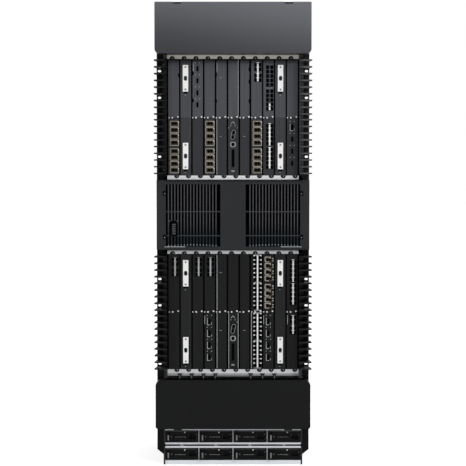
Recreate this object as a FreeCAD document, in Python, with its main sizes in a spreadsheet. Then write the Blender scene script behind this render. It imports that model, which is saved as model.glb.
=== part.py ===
import FreeCAD, Part
import os
import re
import Sketcher

# A tall rack-mount chassis router, in millimetres.
# +Z is up, the front faces -Y and the origin is the middle of the footprint, on the floor.
# Repeated pieces are modelled once about a local origin on the rack plane and then copied.

SIZES = {
    # Whole chassis
    "rack_plane": 246.0,
    "rear_plane": 290.0,
    "wall_sheet": 1.5,
    "flange_sheet": 2.5,
    "return_width": 18.0,
    "flange_reach": 20.0,
    "foot_height": 33.0,
    "foot_chamfer": 16.0,
    "seam": 1.5,
    "fit": 0.3,
    # Rack slots in the flanges
    "slot_inset": 8.95,
    "slot_length": 10.5,
    "slot_height": 6.8,
    # Power bay and power supplies
    "sill": 14.0,
    "sill_depth": 3.0,
    "mid_rail": 6.0,
    "rail_space": 5.5,
    "top_rail": 10.6,
    "divider": 2.2,
    "bay_side": 3.3,
    "supply_height": 38.4,
    "supply_depth": 330.0,
    "bay_back": 3.0,
    "bezel_depth": 4.0,
    "bezel_margin": 1.2,
    "bail_height": 28.0,
    "bail_reach": 16.0,
    "bail_bar": 4.0,
    "bail_inset": 10.5,
    "inlet_width": 25.0,
    "inlet_height": 18.0,
    "inlet_depth": 14.0,
    "inlet_inset": 18.0,
    "blade_width": 2.0,
    "blade_height": 6.5,
    "blade_space": 7.0,
    "blade_length": 6.5,
    # Card cages
    "column_pitch": 37.5,
    "cage_play": 1.75,
    "cage_side": 13.5,
    "card_gap": 3.3,
    "card_height": 368.5,
    "card_split": 0.6,
    "face_sheet": 3.0,
    "board_sheet": 2.4,
    "board_margin": 8.0,
    "backplane_front": 60.0,
    "backplane_sheet": 5.0,
    "plug_width": 12.0,
    "plug_depth": 14.0,
    "lip_height": 12.5,
    "lip_reach": 6.0,
    "lip_sheet": 2.0,
    "notch_radius": 7.0,
    "ceiling_notch": -4.5,
    "floor_notch": 9.0,
    "guide_height": 3.0,
    "guide_width": 3.0,
    # Ports in the card faces
    "port_depth": 3.8,
    "cage_depth": 12.0,
    "cage_margin": 2.0,
    "tall_width": 9.0,
    "tall_height": 19.0,
    "tall_pitch": 38.0,
    "tall_raise": 4.0,
    "framed_width": 22.0,
    "framed_height": 11.5,
    "framed_inset": 8.5,
    "framed_break": 7.0,
    "framed_shift": 2.0,
    "small_width": 7.6,
    "small_height": 11.0,
    "small_pitch": 13.9,
    "small_column": 13.4,
    "small_break": 6.0,
    "small_shift": 3.5,
    "socket_width": 8.4,
    "socket_height": 10.6,
    "socket_inset": 6.0,
    "socket_column": 13.4,
    "socket_break": 7.0,
    "socket_shift": 3.0,
    "strip_width": 4.6,
    "strip_reach": 1.2,
    "port_inset": 15.0,
    "console_width": 11.0,
    "console_height": 13.0,
    "card_slot_width": 7.0,
    "card_slot_height": 54.0,
    "card_slot_low": 28.0,
    "console_low": 92.0,
    "console_pitch": 20.0,
    # Fabric modules and their ejector levers
    "lever_width": 17.0,
    "lever_length": 83.5,
    "lever_thick": 8.0,
    "lever_stand": 6.0,
    "lever_inset": 20.0,
    "lever_tail": 4.0,
    "lever_hole_width": 9.0,
    "lever_hole_height": 14.0,
    "pin_radius": 1.6,
    "pin_play": 0.06,
    "lug_sheet": 2.0,
    "lug_half": 5.0,
    "side_play": 0.4,
    # Front covers
    "hood_height": 160.0,
    "cover_overhang": 3.9,
    "cover_reach": 60.0,
    "cover_wall": 2.5,
    "hood_corner": 14.0,
    "hood_edge": 3.0,
    "clip_width": 26.0,
    "clip_height": 6.0,
    "clip_depth": 9.0,
    "clip_inset": 70.9,
    "lower_overhang": 3.5,
    "lower_cover_height": 155.0,
    "lower_cover_reach": 46.0,
    "shoulder_width": 11.0,
    "shoulder_height": 15.0,
    "lower_corner": 7.0,
    "tab_height": 4.0,
    "tab_depth": 8.0,
    # Cable tray under the lower cage
    "tray_slot": 6.8,
    "tray_rise": 10.0,
    "tray_reach": 34.0,
    "tray_sheet": 2.0,
    "tray_hook": 10.0,
    "tray_hook_width": 3.0,
    # Air intake
    "intake_height": 220.0,
    "intake_thick": 24.0,
    "window_in": 40.0,
    "window_side": 29.2,
    "window_top": 13.6,
    "window_bottom": 9.5,
    "bar_inset_in": 13.6,
    "bar_inset_out": 8.2,
    "bar_width": 4.6,
    "bar_thick": 6.0,
    "bar_setback": 3.0,
    "cross_bar": 5.0,
    "cross_high": 100.0,
    "cross_low": 176.0,
    "filter_thick": 12.0,
    # Cable combs on the flanges
    "finger_height": 4.5,
    "finger_reach": 58.0,
    "finger_nose": 4.0,
    "finger_overhang": 6.5,
    "finger_chamfer": 9.0,
    "comb_lap": 12.0,
    "comb_base": 14.0,
    "comb_sheet": 4.0,
    "comb_space": 13.5,
    "comb_inset": 4.8,
    # Fan trays and rotors
    "fan_web": 5.5,
    "tray_plate": 2.0,
    "tray_play": 0.3,
    "shelf_depth": 60.0,
    "guard_ring": 3.0,
    "guard_mid": 44.0,
    "guard_sheet": 2.0,
    "spoke_width": 5.0,
    "motor_radius": 24.0,
    "motor_depth": 9.0,
    "shaft_radius": 4.0,
    "shaft_reach": 26.0,
    "shaft_play": 0.06,
    "rotor_gap": 1.2,
    "hub_radius": 25.0,
    "hub_depth": 30.0,
    "tip_play": 3.0,
    "blade_chord": 30.0,
    "blade_drop": 20.0,
    "blade_camber": 4.0,
    "blade_sheet": 2.4,
    "pull_width": 90.0,
    "pull_bar": 8.0,
    "pull_reach": 16.0,
    "pull_height": 12.0,
    # Rear panels
    "vent_web": 36.0,
    "vent_height": 8.0,
    "vent_inset": 50.0,
}

COLUMNS = 11
FINGERS = 9
BLADES = 5
SUPPLIES_PER_ROW = 4
BARS_PER_WINDOW = 16
VENT_ROWS = 13
FANS_PER_TRAY = 3
# Rack slots by cage, comb unit and gap between two fingers, where a driver can reach them
RACK_SLOTS = (
    ("upper", 0, 2), ("upper", 1, 2), ("upper", 1, 6), ("lower", 0, 0), ("lower", 1, 0), ("lower", 1, 4),
)
FABRIC_COLUMNS = (2, 10)
HOOK_EDGES = (-4.5, -3.5, -2.5, -1.5, 1.5, 2.5, 3.5)

# Half-height slots by kind: (cage, column, half)
FILLED = {
    "quad_port_cards": (
        ("upper", 3, "top"), ("upper", 11, "bottom"), ("lower", 4, "bottom"), ("lower", 9, "bottom"),
    ),
    "framed_port_cards": (
        ("upper", 1, "bottom"), ("upper", 4, "bottom"), ("upper", 8, "bottom"), ("lower", 9, "top"),
    ),
    "eight_port_cards": (
        ("upper", 8, "top"), ("lower", 1, "top"), ("lower", 3, "top"), ("lower", 4, "top"),
        ("lower", 11, "bottom"),
    ),
    "twin_row_cards": (("upper", 9, "top"), ("upper", 9, "bottom"), ("lower", 11, "top")),
    "socket_cards": (("lower", 8, "top"), ("lower", 8, "bottom")),
    "management_cards": (("upper", 6, "bottom"), ("lower", 6, "bottom")),
}

doc = FreeCAD.newDocument("ChassisRouter")
sheet = doc.addObject("Spreadsheet::Sheet", "Sizes")
for row, (alias, value) in enumerate(SIZES.items(), start=1):
    sheet.set("A%d" % row, alias)
    sheet.set("B%d" % row, str(value))
    sheet.setAlias("B%d" % row, alias)
doc.recompute()

WORD = re.compile(r"[a-z_]+")
TURN_TO_FRONT = FreeCAD.Rotation(FreeCAD.Vector(1, 0, 0), 90)
TURN_TO_SIDE = FreeCAD.Rotation(FreeCAD.Vector(1, 1, 1), 120)
TURN_FLAT = FreeCAD.Rotation()
UPSIDE_DOWN = FreeCAD.Rotation(FreeCAD.Vector(0, 1, 0), 180)
ALONG_X = FreeCAD.Rotation(FreeCAD.Vector(0, 1, 0), 90)
ALONG_Y = FreeCAD.Rotation(FreeCAD.Vector(1, 0, 0), -90)
nodes = []

# Levels from the floor up, each one standing on the one before
BAY_HEIGHT = "(supply_height + 2 * fit)"
LOW_BAY = "sill"
LOW_RAIL = "(%s + %s)" % (LOW_BAY, BAY_HEIGHT)
HIGH_RAIL = "(%s + mid_rail + rail_space)" % LOW_RAIL
HIGH_BAY = "(%s + mid_rail)" % HIGH_RAIL
BAY_TOP = "(%s + %s)" % (HIGH_BAY, BAY_HEIGHT)
COVER_LOW = "(%s + top_rail + seam)" % BAY_TOP
COVER_TOP = "(%s + lower_cover_height)" % COVER_LOW
LOWER_LIP = "(%s + tray_slot + tray_rise)" % COVER_TOP
LOWER_CARDS = "(%s + lip_height)" % LOWER_LIP
INTAKE_LOW = "(%s + card_height + lip_height + seam)" % LOWER_CARDS
UPPER_LIP = "(%s + intake_height + seam)" % INTAKE_LOW
UPPER_CARDS = "(%s + lip_height)" % UPPER_LIP
HOOD_LOW = "(%s + card_height + lip_height + seam)" % UPPER_CARDS
TOTAL_HEIGHT = "(%s + hood_height)" % HOOD_LOW
CAGE_LOW = {"upper": UPPER_CARDS, "lower": LOWER_CARDS}
HALF_CARD = "((card_height - card_split) / 2)"

# Widths from the card columns outwards
CARD_WIDTH = "(column_pitch - card_gap)"
CAGE_WIDTH = "(%d * column_pitch + 2 * cage_play)" % COLUMNS
BODY_WIDTH = "(%s + 2 * cage_side)" % CAGE_WIDTH
INNER_WIDTH = "(%s - 2 * wall_sheet)" % BODY_WIDTH
RACK_WIDTH = "(%s + 2 * flange_reach)" % BODY_WIDTH
COVER_WIDTH = "(%s + 2 * cover_overhang)" % RACK_WIDTH
LOWER_COVER_WIDTH = "(%s + 2 * lower_overhang)" % RACK_WIDTH
CLIP_OUT = "(%s / 2 - clip_inset)" % COVER_WIDTH
WINDOW_OUT = "(%s / 2 - window_side)" % RACK_WIDTH
COMB_INNER = "(%s / 2 - comb_lap)" % BODY_WIDTH
BAY_SPACES = "(%s - 2 * bay_side - %d * divider)" % (INNER_WIDTH, SUPPLIES_PER_ROW - 1)
SUPPLY_WIDTH = "(%s / %d - 2 * fit)" % (BAY_SPACES, SUPPLIES_PER_ROW)
SUPPLY_PITCH = "(%s + 2 * fit + divider)" % SUPPLY_WIDTH
REAR_WIDTH = "(%s - 2 * return_width)" % BODY_WIDTH
TRAY_WIDTH = "(%s - 2 * tray_play)" % REAR_WIDTH
FAN_SPACING = "(%s / %d)" % (TRAY_WIDTH, FANS_PER_TRAY)
FAN_RADIUS = "(%s / 2 - fan_web)" % FAN_SPACING

# Pitches that fill the space they have
CAGE_BACK = "(rack_plane + backplane_front)"
COMB_HEIGHT = "((card_height - comb_space) / 2 - comb_inset)"
FINGER_PITCH = "((%s - finger_height) / %d)" % (COMB_HEIGHT, FINGERS - 1)
BAR_PITCH = "((%s - window_in - bar_inset_in - bar_inset_out) / %d)" % (WINDOW_OUT, BARS_PER_WINDOW - 1)


def bind(item, prop, formula):
    """Tie one property of an item to the sheet through a formula of size names."""
    text = WORD.sub(lambda found: "Sizes." + found.group() if found.group() in SIZES else found.group(), formula)
    item.setExpression(prop, text)


def place(item, spot, turn=None):
    """Turn an item and tie its place to three formulas."""
    if turn is not None:
        item.Placement = FreeCAD.Placement(FreeCAD.Vector(), turn)
    for axis, formula in zip("xyz", spot):
        bind(item, ".Placement.Base." + axis, formula)
    return item


def block(name, spot, size):
    """A box by its low corner and its three sizes."""
    item = doc.addObject("Part::Box", name)
    for prop, formula in zip(("Length", "Width", "Height"), size):
        bind(item, prop, formula)
    return place(item, spot)


def wide_block(name, width, spot, size):
    """A box that is centred on X."""
    return block(name, ("-(%s) / 2" % width,) + spot, (width,) + size)


def rod(name, radius, length, spot, turn):
    """A round bar that starts at a spot and runs along the turned Z axis."""
    item = doc.addObject("Part::Cylinder", name)
    bind(item, "Radius", radius)
    bind(item, "Height", length)
    return place(item, spot, turn)


def outline(name, points, turn):
    """A closed sketch of straight edges whose corners are tied to pairs of formulas."""
    sketch = doc.addObject("Sketcher::SketchObject", name)
    sketch.Placement = FreeCAD.Placement(FreeCAD.Vector(), turn)
    count = len(points)
    starts = [FreeCAD.Vector(index, index * index, 0) for index in range(count)]
    for index in range(count):
        sketch.addGeometry(Part.LineSegment(starts[index], starts[(index + 1) % count]))
    for index in range(count):
        sketch.addConstraint(Sketcher.Constraint("Coincident", index, 2, (index + 1) % count, 1))
    for index, pair in enumerate(points):
        for kind, formula in zip(("DistanceX", "DistanceY"), pair):
            tie = sketch.addConstraint(Sketcher.Constraint(kind, -1, 1, index, 1, index + 1.0))
            bind(sketch, "Constraints[%d]" % tie, formula)
    return sketch


def extrusion(name, sketch, length, spot=("0", "0", "0")):
    """The solid that a sketch sweeps along its own normal."""
    item = doc.addObject("Part::Extrusion", name)
    item.Base = sketch
    item.DirMode = "Normal"
    item.Solid = True
    bind(item, "LengthFwd", length)
    return place(item, spot)


def fuse(name, items):
    """One solid made of overlapping or touching items."""
    item = doc.addObject("Part::MultiFuse", name)
    item.Shapes = items
    item.Refine = True
    return item


def cut(name, base, tools):
    """A base item less a list of tools."""
    item = doc.addObject("Part::Cut", name)
    item.Base = base
    item.Tool = tools[0] if len(tools) == 1 else group(name + "_tools", tools)
    return item


def group(name, items):
    """Separate solids kept together."""
    item = doc.addObject("Part::Compound", name)
    item.Links = items
    return item


def copy(name, master, spot, turn=None):
    """A copy of a master piece at its own place."""
    return place(group(name, [master]), spot, turn)


def mirror(name, source):
    """The mirror image of an item across the middle of the chassis."""
    item = doc.addObject("Part::Mirroring", name)
    item.Source = source
    item.Normal = FreeCAD.Vector(1, 0, 0)
    return item


def rounded(name, base, radius, picks):
    """Round the edges of a base that any of the picking tests accepts."""
    doc.recompute()
    item = doc.addObject("Part::Fillet", name)
    item.Base = base
    chosen = []
    for index, edge in enumerate(base.Shape.Edges, start=1):
        if any(pick(edge, base.Shape.BoundBox) for pick in picks):
            chosen.append((index, radius, radius))
    item.Edges = chosen
    return item


def runs_deep(edge, at_bottom, box):
    """Whether an edge runs front to back at one end of the widest corners of a box."""
    low, high = edge.Vertexes[0].Point, edge.Vertexes[-1].Point
    straight = abs(low.x - high.x) < 1e-6 and abs(low.z - high.z) < 1e-6
    level = box.ZMin if at_bottom else box.ZMax
    sideways = min(abs(low.x - box.XMin), abs(low.x - box.XMax)) < 1e-6
    return straight and sideways and abs(low.z - level) < 1e-6


def bottom_corner(edge, box):
    """Whether an edge is one of the two lower corners, front to back."""
    return runs_deep(edge, True, box)


def top_corner(edge, box):
    """Whether an edge is one of the two upper corners, front to back."""
    return runs_deep(edge, False, box)


def node(label, item):
    """Keep an item as a finished piece under its own label."""
    item.Label = label
    nodes.append(item)
    return item


def column_x(column):
    """The middle of a card column, counted from 1 at the left."""
    return "%g * column_pitch" % (column - (COLUMNS + 1) / 2)


def comb_foot(cage, unit):
    """The foot of the lower (0) or upper (1) comb unit of a cage."""
    middle = "%s + card_height / 2" % CAGE_LOW[cage]
    return "%s + comb_space / 2" % middle if unit else "%s - %s - comb_space / 2" % (middle, COMB_HEIGHT)


# Side walls: a sheet folded out to the rack flange in front and in to a return behind
def side_wall():
    edge_in = "-(%s / 2 - wall_sheet)" % BODY_WIDTH
    edge_out = "-%s / 2" % RACK_WIDTH
    side = "-%s / 2" % BODY_WIDTH
    wall = block(
        "wall_sheet_left",
        (side, "-rack_plane", "0"),
        ("wall_sheet", "rack_plane + rear_plane", TOTAL_HEIGHT),
    )
    back = block(
        "wall_return",
        (side, "rear_plane - wall_sheet", "0"),
        ("return_width", "wall_sheet", TOTAL_HEIGHT),
    )
    ear = extrusion(
        "rack_flange",
        outline(
            "rack_flange_outline",
            (
                (edge_in, "foot_height"), (side, "foot_height"),
                (edge_out, "foot_height + foot_chamfer"), (edge_out, HOOD_LOW + " + hood_corner"),
                (edge_in, HOOD_LOW + " + hood_corner"),
            ),
            TURN_TO_FRONT,
        ),
        "flange_sheet",
        ("0", "-rack_plane + flange_sheet", "0"),
    )
    straight = "(slot_length - slot_height)"
    slot = fuse("rack_slot", [
        block(
            "rack_slot_middle",
            ("-%s / 2" % straight, "-flange_sheet", "-slot_height / 2"),
            (straight, "3 * flange_sheet", "slot_height"),
        ),
        rod("rack_slot_end_a", "slot_height / 2", "3 * flange_sheet",
            ("-%s / 2" % straight, "-flange_sheet", "0"), ALONG_Y),
        rod("rack_slot_end_b", "slot_height / 2", "3 * flange_sheet",
            ("%s / 2" % straight, "-flange_sheet", "0"), ALONG_Y),
    ])
    slots = []
    for cage, unit, gap in RACK_SLOTS:
        height = "%s + finger_height / 2 + %g * %s" % (comb_foot(cage, unit), gap + 0.5, FINGER_PITCH)
        slots.append(copy(
            "slot_%s_%d_%d" % (cage, unit, gap), slot, (edge_out + " + slot_inset", "-rack_plane", height),
        ))
    left = node("left_side_wall", cut("left_wall", fuse("left_wall_sheet", [wall, back, ear]), slots))
    node("right_side_wall", mirror("right_wall", left))


# Top sheet, and the bottom pan with its bright front sill
def top_and_bottom():
    deep = "rack_plane + rear_plane - wall_sheet"
    node("top_panel", wide_block(
        "top_sheet", INNER_WIDTH, ("-rack_plane", TOTAL_HEIGHT + " - wall_sheet"), (deep, "wall_sheet"),
    ))
    pan = wide_block("pan_sheet", INNER_WIDTH, ("-rack_plane", "0"), (deep, "wall_sheet"))
    front = wide_block("pan_sill", INNER_WIDTH, ("-rack_plane - sill_depth", "0"), ("sill_depth", "sill"))
    node("bottom_pan", fuse("pan", [pan, front]))


# The power bay: shelves and dividers that join the back wall
def power_bay():
    deep = "supply_depth + bay_back"
    start = "-rack_plane"
    walls = [
        wide_block("bay_floor", INNER_WIDTH, (start, "sill - mid_rail"), (deep, "mid_rail")),
        wide_block("bay_rail_low", INNER_WIDTH, (start, LOW_RAIL), (deep, "mid_rail")),
        wide_block("bay_rail_high", INNER_WIDTH, (start, HIGH_RAIL), (deep, "mid_rail")),
        wide_block("bay_roof", INNER_WIDTH, (start, BAY_TOP), (deep, "top_rail")),
        wide_block(
            "bay_back_wall", INNER_WIDTH, ("-rack_plane + supply_depth", "sill - mid_rail"),
            ("bay_back", "%s + top_rail - sill + mid_rail" % BAY_TOP),
        ),
    ]
    for level_name, level in (("low", LOW_BAY), ("high", HIGH_BAY)):
        for edge in range(1, SUPPLIES_PER_ROW):
            middle = "%g * %s" % (edge - SUPPLIES_PER_ROW / 2, SUPPLY_PITCH)
            walls.append(block(
                "bay_divider_%s_%d" % (level_name, edge),
                ("%s - divider / 2" % middle, start, level), ("divider", deep, BAY_HEIGHT),
            ))
        walls.append(block(
            "bay_side_left_%s" % level_name,
            ("-%s / 2" % INNER_WIDTH, start, level), ("bay_side", deep, BAY_HEIGHT),
        ))
        walls.append(block(
            "bay_side_right_%s" % level_name,
            ("%s / 2 - bay_side" % INNER_WIDTH, start, level), ("bay_side", deep, BAY_HEIGHT),
        ))
    node("power_bay", fuse("bay", walls))


# Power supplies: a can with a bezel, a pull bail and a sunken inlet with three blades
def power_supplies():
    can = wide_block("supply_can", SUPPLY_WIDTH, ("0", "0"), ("supply_depth - fit", "supply_height"))
    bezel = wide_block(
        "supply_bezel", SUPPLY_WIDTH + " - 2 * bezel_margin", ("-bezel_depth", "bezel_margin"),
        ("bezel_depth", "supply_height - 2 * bezel_margin"),
    )
    low = "(supply_height - bail_height) / 2"
    high = "(supply_height + bail_height) / 2"
    tip = "-bezel_depth - bail_reach"
    bail = extrusion(
        "supply_bail",
        outline(
            "supply_bail_outline",
            (
                ("-bezel_depth", low), (tip + " + bail_bar", low), (tip, low + " + bail_bar"),
                (tip, high + " - bail_bar"), (tip + " + bail_bar", high), ("-bezel_depth", high),
                ("-bezel_depth", high + " - bail_bar"), (tip + " + bail_bar", high + " - bail_bar"),
                (tip + " + bail_bar", low + " + bail_bar"), ("-bezel_depth", low + " + bail_bar"),
            ),
            TURN_TO_SIDE,
        ),
        "bail_bar",
        ("-%s / 2 + bail_inset - bail_bar / 2" % SUPPLY_WIDTH, "0", "0"),
    )
    middle = "supply_height / 2"
    inlet_x = "%s / 2 - inlet_inset" % SUPPLY_WIDTH
    mouth = block(
        "inlet_mouth",
        (inlet_x + " - inlet_width / 2", "-bezel_depth", middle + " - inlet_height / 2"),
        ("inlet_width", "inlet_depth", "inlet_height"),
    )
    blades = []
    for step in (-1, 0, 1):
        blades.append(block(
            "inlet_blade_%d" % (step + 1),
            (
                "%s + %d * blade_space - blade_width / 2" % (inlet_x, step),
                "inlet_depth - blade_length - bezel_depth",
                middle + " - blade_height / 2",
            ),
            ("blade_width", "2 * blade_length", "blade_height"),
        ))
    shell = cut("supply_shell", fuse("supply_solid", [can, bezel, bail]), [mouth])
    supply = fuse("supply", [shell] + blades)
    for level_name, level in (("lower", LOW_BAY), ("upper", HIGH_BAY)):
        for bay in range(SUPPLIES_PER_ROW):
            label = "%s_power_supply_%d" % (level_name, bay + 1)
            middle_x = "%g * %s" % (bay - (SUPPLIES_PER_ROW - 1) / 2, SUPPLY_PITCH)
            node(label, copy(label + "_body", supply, (middle_x, "-rack_plane", level + " + fit")))


# Cage shelves: a sheet with card guides that ends in a bright lip at the front
def cage_shelves():
    for cage, low in CAGE_LOW.items():
        top = low + " + card_height"
        for end, lip_low, sheet_low, guide_low, notch_x, notch_level in (
            ("floor", low + " - lip_height", low + " - lip_sheet", low, "floor_notch", low),
            ("ceiling", top, top, top + " - guide_height", "ceiling_notch", top),
        ):
            stem = "%s_cage_%s" % (cage, end)
            pieces = [
                cut(stem + "_lip", wide_block(
                    stem + "_lip_bar", CAGE_WIDTH, ("-rack_plane - lip_reach", lip_low),
                    ("lip_reach + lip_sheet", "lip_height"),
                ), [rod(
                    "%s_notch_%d" % (stem, column), "notch_radius", "lip_reach",
                    ("%s + %s" % (column_x(column), notch_x), "-rack_plane - lip_reach", notch_level), ALONG_Y,
                ) for column in range(1, COLUMNS + 1)]),
                wide_block(stem + "_sheet", INNER_WIDTH, ("-rack_plane", sheet_low),
                           (CAGE_BACK, "lip_sheet")),
            ]
            for edge in range(1, COLUMNS):
                pieces.append(block(
                    "%s_guide_%d" % (stem, edge),
                    ("%g * column_pitch - guide_width / 2" % (edge - COLUMNS / 2),
                     "-rack_plane + cage_depth + face_sheet", guide_low),
                    ("guide_width", CAGE_BACK + " - cage_depth - face_sheet", "guide_height"),
                ))
            node(stem, fuse(stem + "_body", pieces))


def backplane():
    low = LOWER_CARDS + " - lip_sheet"
    node("backplane", wide_block(
        "backplane_board", INNER_WIDTH, ("backplane_front", low),
        ("backplane_sheet", "%s + card_height + 2 * lip_sheet - %s" % (UPPER_CARDS, LOWER_CARDS)),
    ))


def card_blank(stem, height):
    """A card's face, its board and the plug that meets the backplane."""
    face = wide_block(stem + "_face", CARD_WIDTH, ("-face_sheet", "0"), ("face_sheet", height))
    board = wide_block(
        stem + "_board", "board_sheet", ("0", "board_margin"),
        (CAGE_BACK, "%s - 2 * board_margin" % height),
    )
    plug = wide_block(
        stem + "_plug", "plug_width", (CAGE_BACK + " - plug_depth", "2 * board_margin"),
        ("plug_depth", "%s - 4 * board_margin" % height),
    )
    return [face, board, plug]


def port(stem, x, z, width, height):
    """The recess of one port, about the middle of its mouth on the card's face."""
    return block(
        stem,
        ("%s - %s / 2" % (x, width), "-face_sheet", "%s - %s / 2" % (z, height)),
        (width, "port_depth", height),
    )


def port_cage(stem, x, width, low, high):
    """The metal cage behind a card's face that holds its ports."""
    return block(
        stem + "_cage", ("%s - (%s) / 2" % (x, width), "0", low),
        (width, "cage_depth", "%s - (%s)" % (high, low)),
    )


def port_rows(stem, size, columns, rows, middle, pitch):
    """Recesses in two banks of rows, with a break at the middle height, and their cage."""
    width, height, gap = (size + "_width", size + "_height", size + "_break")
    reach = "(%d * %s + %s / 2)" % (rows // 2, pitch, gap)
    middle_x = size + "_shift"
    recesses = []
    for column in range(columns):
        across = middle_x + (" + %g * %s_column" % (column - (columns - 1) / 2, size) if columns > 1 else "")
        for level in range(rows):
            side = 1 if level >= rows // 2 else -1
            height_text = "%s + %g * %s + %d * %s / 2" % (middle, level - (rows - 1) / 2, pitch, side, gap)
            recesses.append(port("%s_port_%d_%d" % (stem, column, level), across, height_text, width, height))
    cage_width = "%s + %d * %s_column" % (width, columns - 1, size) if columns > 1 else width
    cage = port_cage(
        stem, middle_x, cage_width + " + 2 * cage_margin",
        "%s - %s" % (middle, reach), "%s + %s" % (middle, reach),
    )
    return cage, recesses


def label_strip(stem, x, low, high):
    """The raised strip between two columns of ports."""
    return block(
        stem + "_strip", (x + " - strip_width / 2", "-face_sheet - strip_reach", low),
        ("strip_width", "strip_reach", "%s - (%s)" % (high, low)),
    )


def filled_pitch(size, rows):
    """The pitch at which a kind's rows fill a half-height card between their insets."""
    return "((%s - 2 * %s_inset - %s_break) / %d)" % (HALF_CARD, size, size, rows)


def quad_card(stem):
    recesses = []
    middle = "(%s / 2 + tall_raise)" % HALF_CARD
    for level in range(4):
        recesses.append(port(
            "%s_port_%d" % (stem, level), "0", "%s + %g * tall_pitch" % (middle, level - 1.5),
            "tall_width", "tall_height",
        ))
    cage = port_cage(
        stem, "0", "tall_width + 2 * cage_margin", middle + " - 2 * tall_pitch", middle + " + 2 * tall_pitch",
    )
    return [cage], recesses


def framed_card(stem):
    cage, recesses = port_rows(stem, "framed", 1, 8, HALF_CARD + " / 2", filled_pitch("framed", 8))
    return [cage], recesses


def eight_port_card(stem):
    middle = "(%s - port_inset - 2 * small_pitch)" % HALF_CARD
    cage, recesses = port_rows(stem, "small", 2, 4, middle, "small_pitch")
    reach = "(2 * small_pitch)"
    strip = label_strip(stem, "small_shift", "%s - %s" % (middle, reach), "%s + %s" % (middle, reach))
    return [cage, strip], recesses


def twin_row_card(stem):
    middle = HALF_CARD + " / 2"
    cage, recesses = port_rows(stem, "small", 2, 10, middle, "small_pitch")
    reach = "(5 * small_pitch)"
    strip = label_strip(stem, "small_shift", "%s - %s" % (middle, reach), "%s + %s" % (middle, reach))
    return [cage, strip], recesses


def socket_card(stem):
    middle = HALF_CARD + " / 2"
    cage, recesses = port_rows(stem, "socket", 2, 12, middle, filled_pitch("socket", 12))
    strip = label_strip(stem, "socket_shift", "socket_inset", HALF_CARD + " - socket_inset")
    return [cage, strip], recesses


def management_card(stem):
    recesses = [block(
        stem + "_slot", ("-card_slot_width / 2", "-face_sheet", "card_slot_low"),
        ("card_slot_width", "port_depth", "card_slot_height"),
    )]
    for level in range(3):
        recesses.append(port(
            "%s_console_%d" % (stem, level), "0",
            "console_low + console_height / 2 + %d * console_pitch" % level,
            "console_width", "console_height",
        ))
    cage = port_cage(
        stem, "0", "console_width + 2 * cage_margin", "card_slot_low - cage_margin",
        "console_low + console_height + 2 * console_pitch + cage_margin",
    )
    return [cage], recesses


CARD_KINDS = {
    "quad_port_cards": quad_card,
    "framed_port_cards": framed_card,
    "eight_port_cards": eight_port_card,
    "twin_row_cards": twin_row_card,
    "socket_cards": socket_card,
    "management_cards": management_card,
}


def slot_place(cage, column, half):
    """Where the foot of a half-height card stands."""
    low = CAGE_LOW[cage]
    if half == "top":
        low = "%s + %s + card_split" % (low, HALF_CARD)
    return (column_x(column), "-rack_plane", low)


# Half-height cards of each kind, one solid in each filled slot
def line_cards():
    for label, make_ports in CARD_KINDS.items():
        stem = label[:-1]
        raised, recesses = make_ports(stem)
        whole = fuse(stem + "_whole", card_blank(stem, HALF_CARD) + raised)
        master = cut(stem + "_master", whole, recesses)
        copies = [copy("%s_%d" % (stem, number), master, slot_place(*spot))
                  for number, spot in enumerate(FILLED[label], start=1)]
        node(label, group(label + "_group", copies))


# Filler panels: a face folded back along both sides, in every slot that holds no card
def filler_panels():
    taken = {spot for spots in FILLED.values() for spot in spots}
    filler = fuse("filler", [
        wide_block("filler_face", CARD_WIDTH, ("-face_sheet", "0"), ("face_sheet", HALF_CARD)),
        block("filler_fold_a", ("-%s / 2" % CARD_WIDTH, "0", "board_margin"),
              ("board_sheet", "cage_depth", "%s - 2 * board_margin" % HALF_CARD)),
        block("filler_fold_b", ("%s / 2 - board_sheet" % CARD_WIDTH, "0", "board_margin"),
              ("board_sheet", "cage_depth", "%s - 2 * board_margin" % HALF_CARD)),
    ])
    copies = []
    for cage in CAGE_LOW:
        for column in range(1, COLUMNS + 1):
            for half in ("top", "bottom"):
                spot = (cage, column, half)
                if column not in FABRIC_COLUMNS and spot not in taken:
                    copies.append(copy("filler_%s_%d_%s" % spot, filler, slot_place(*spot)))
    node("filler_panels", group("filler_group", copies))


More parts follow.
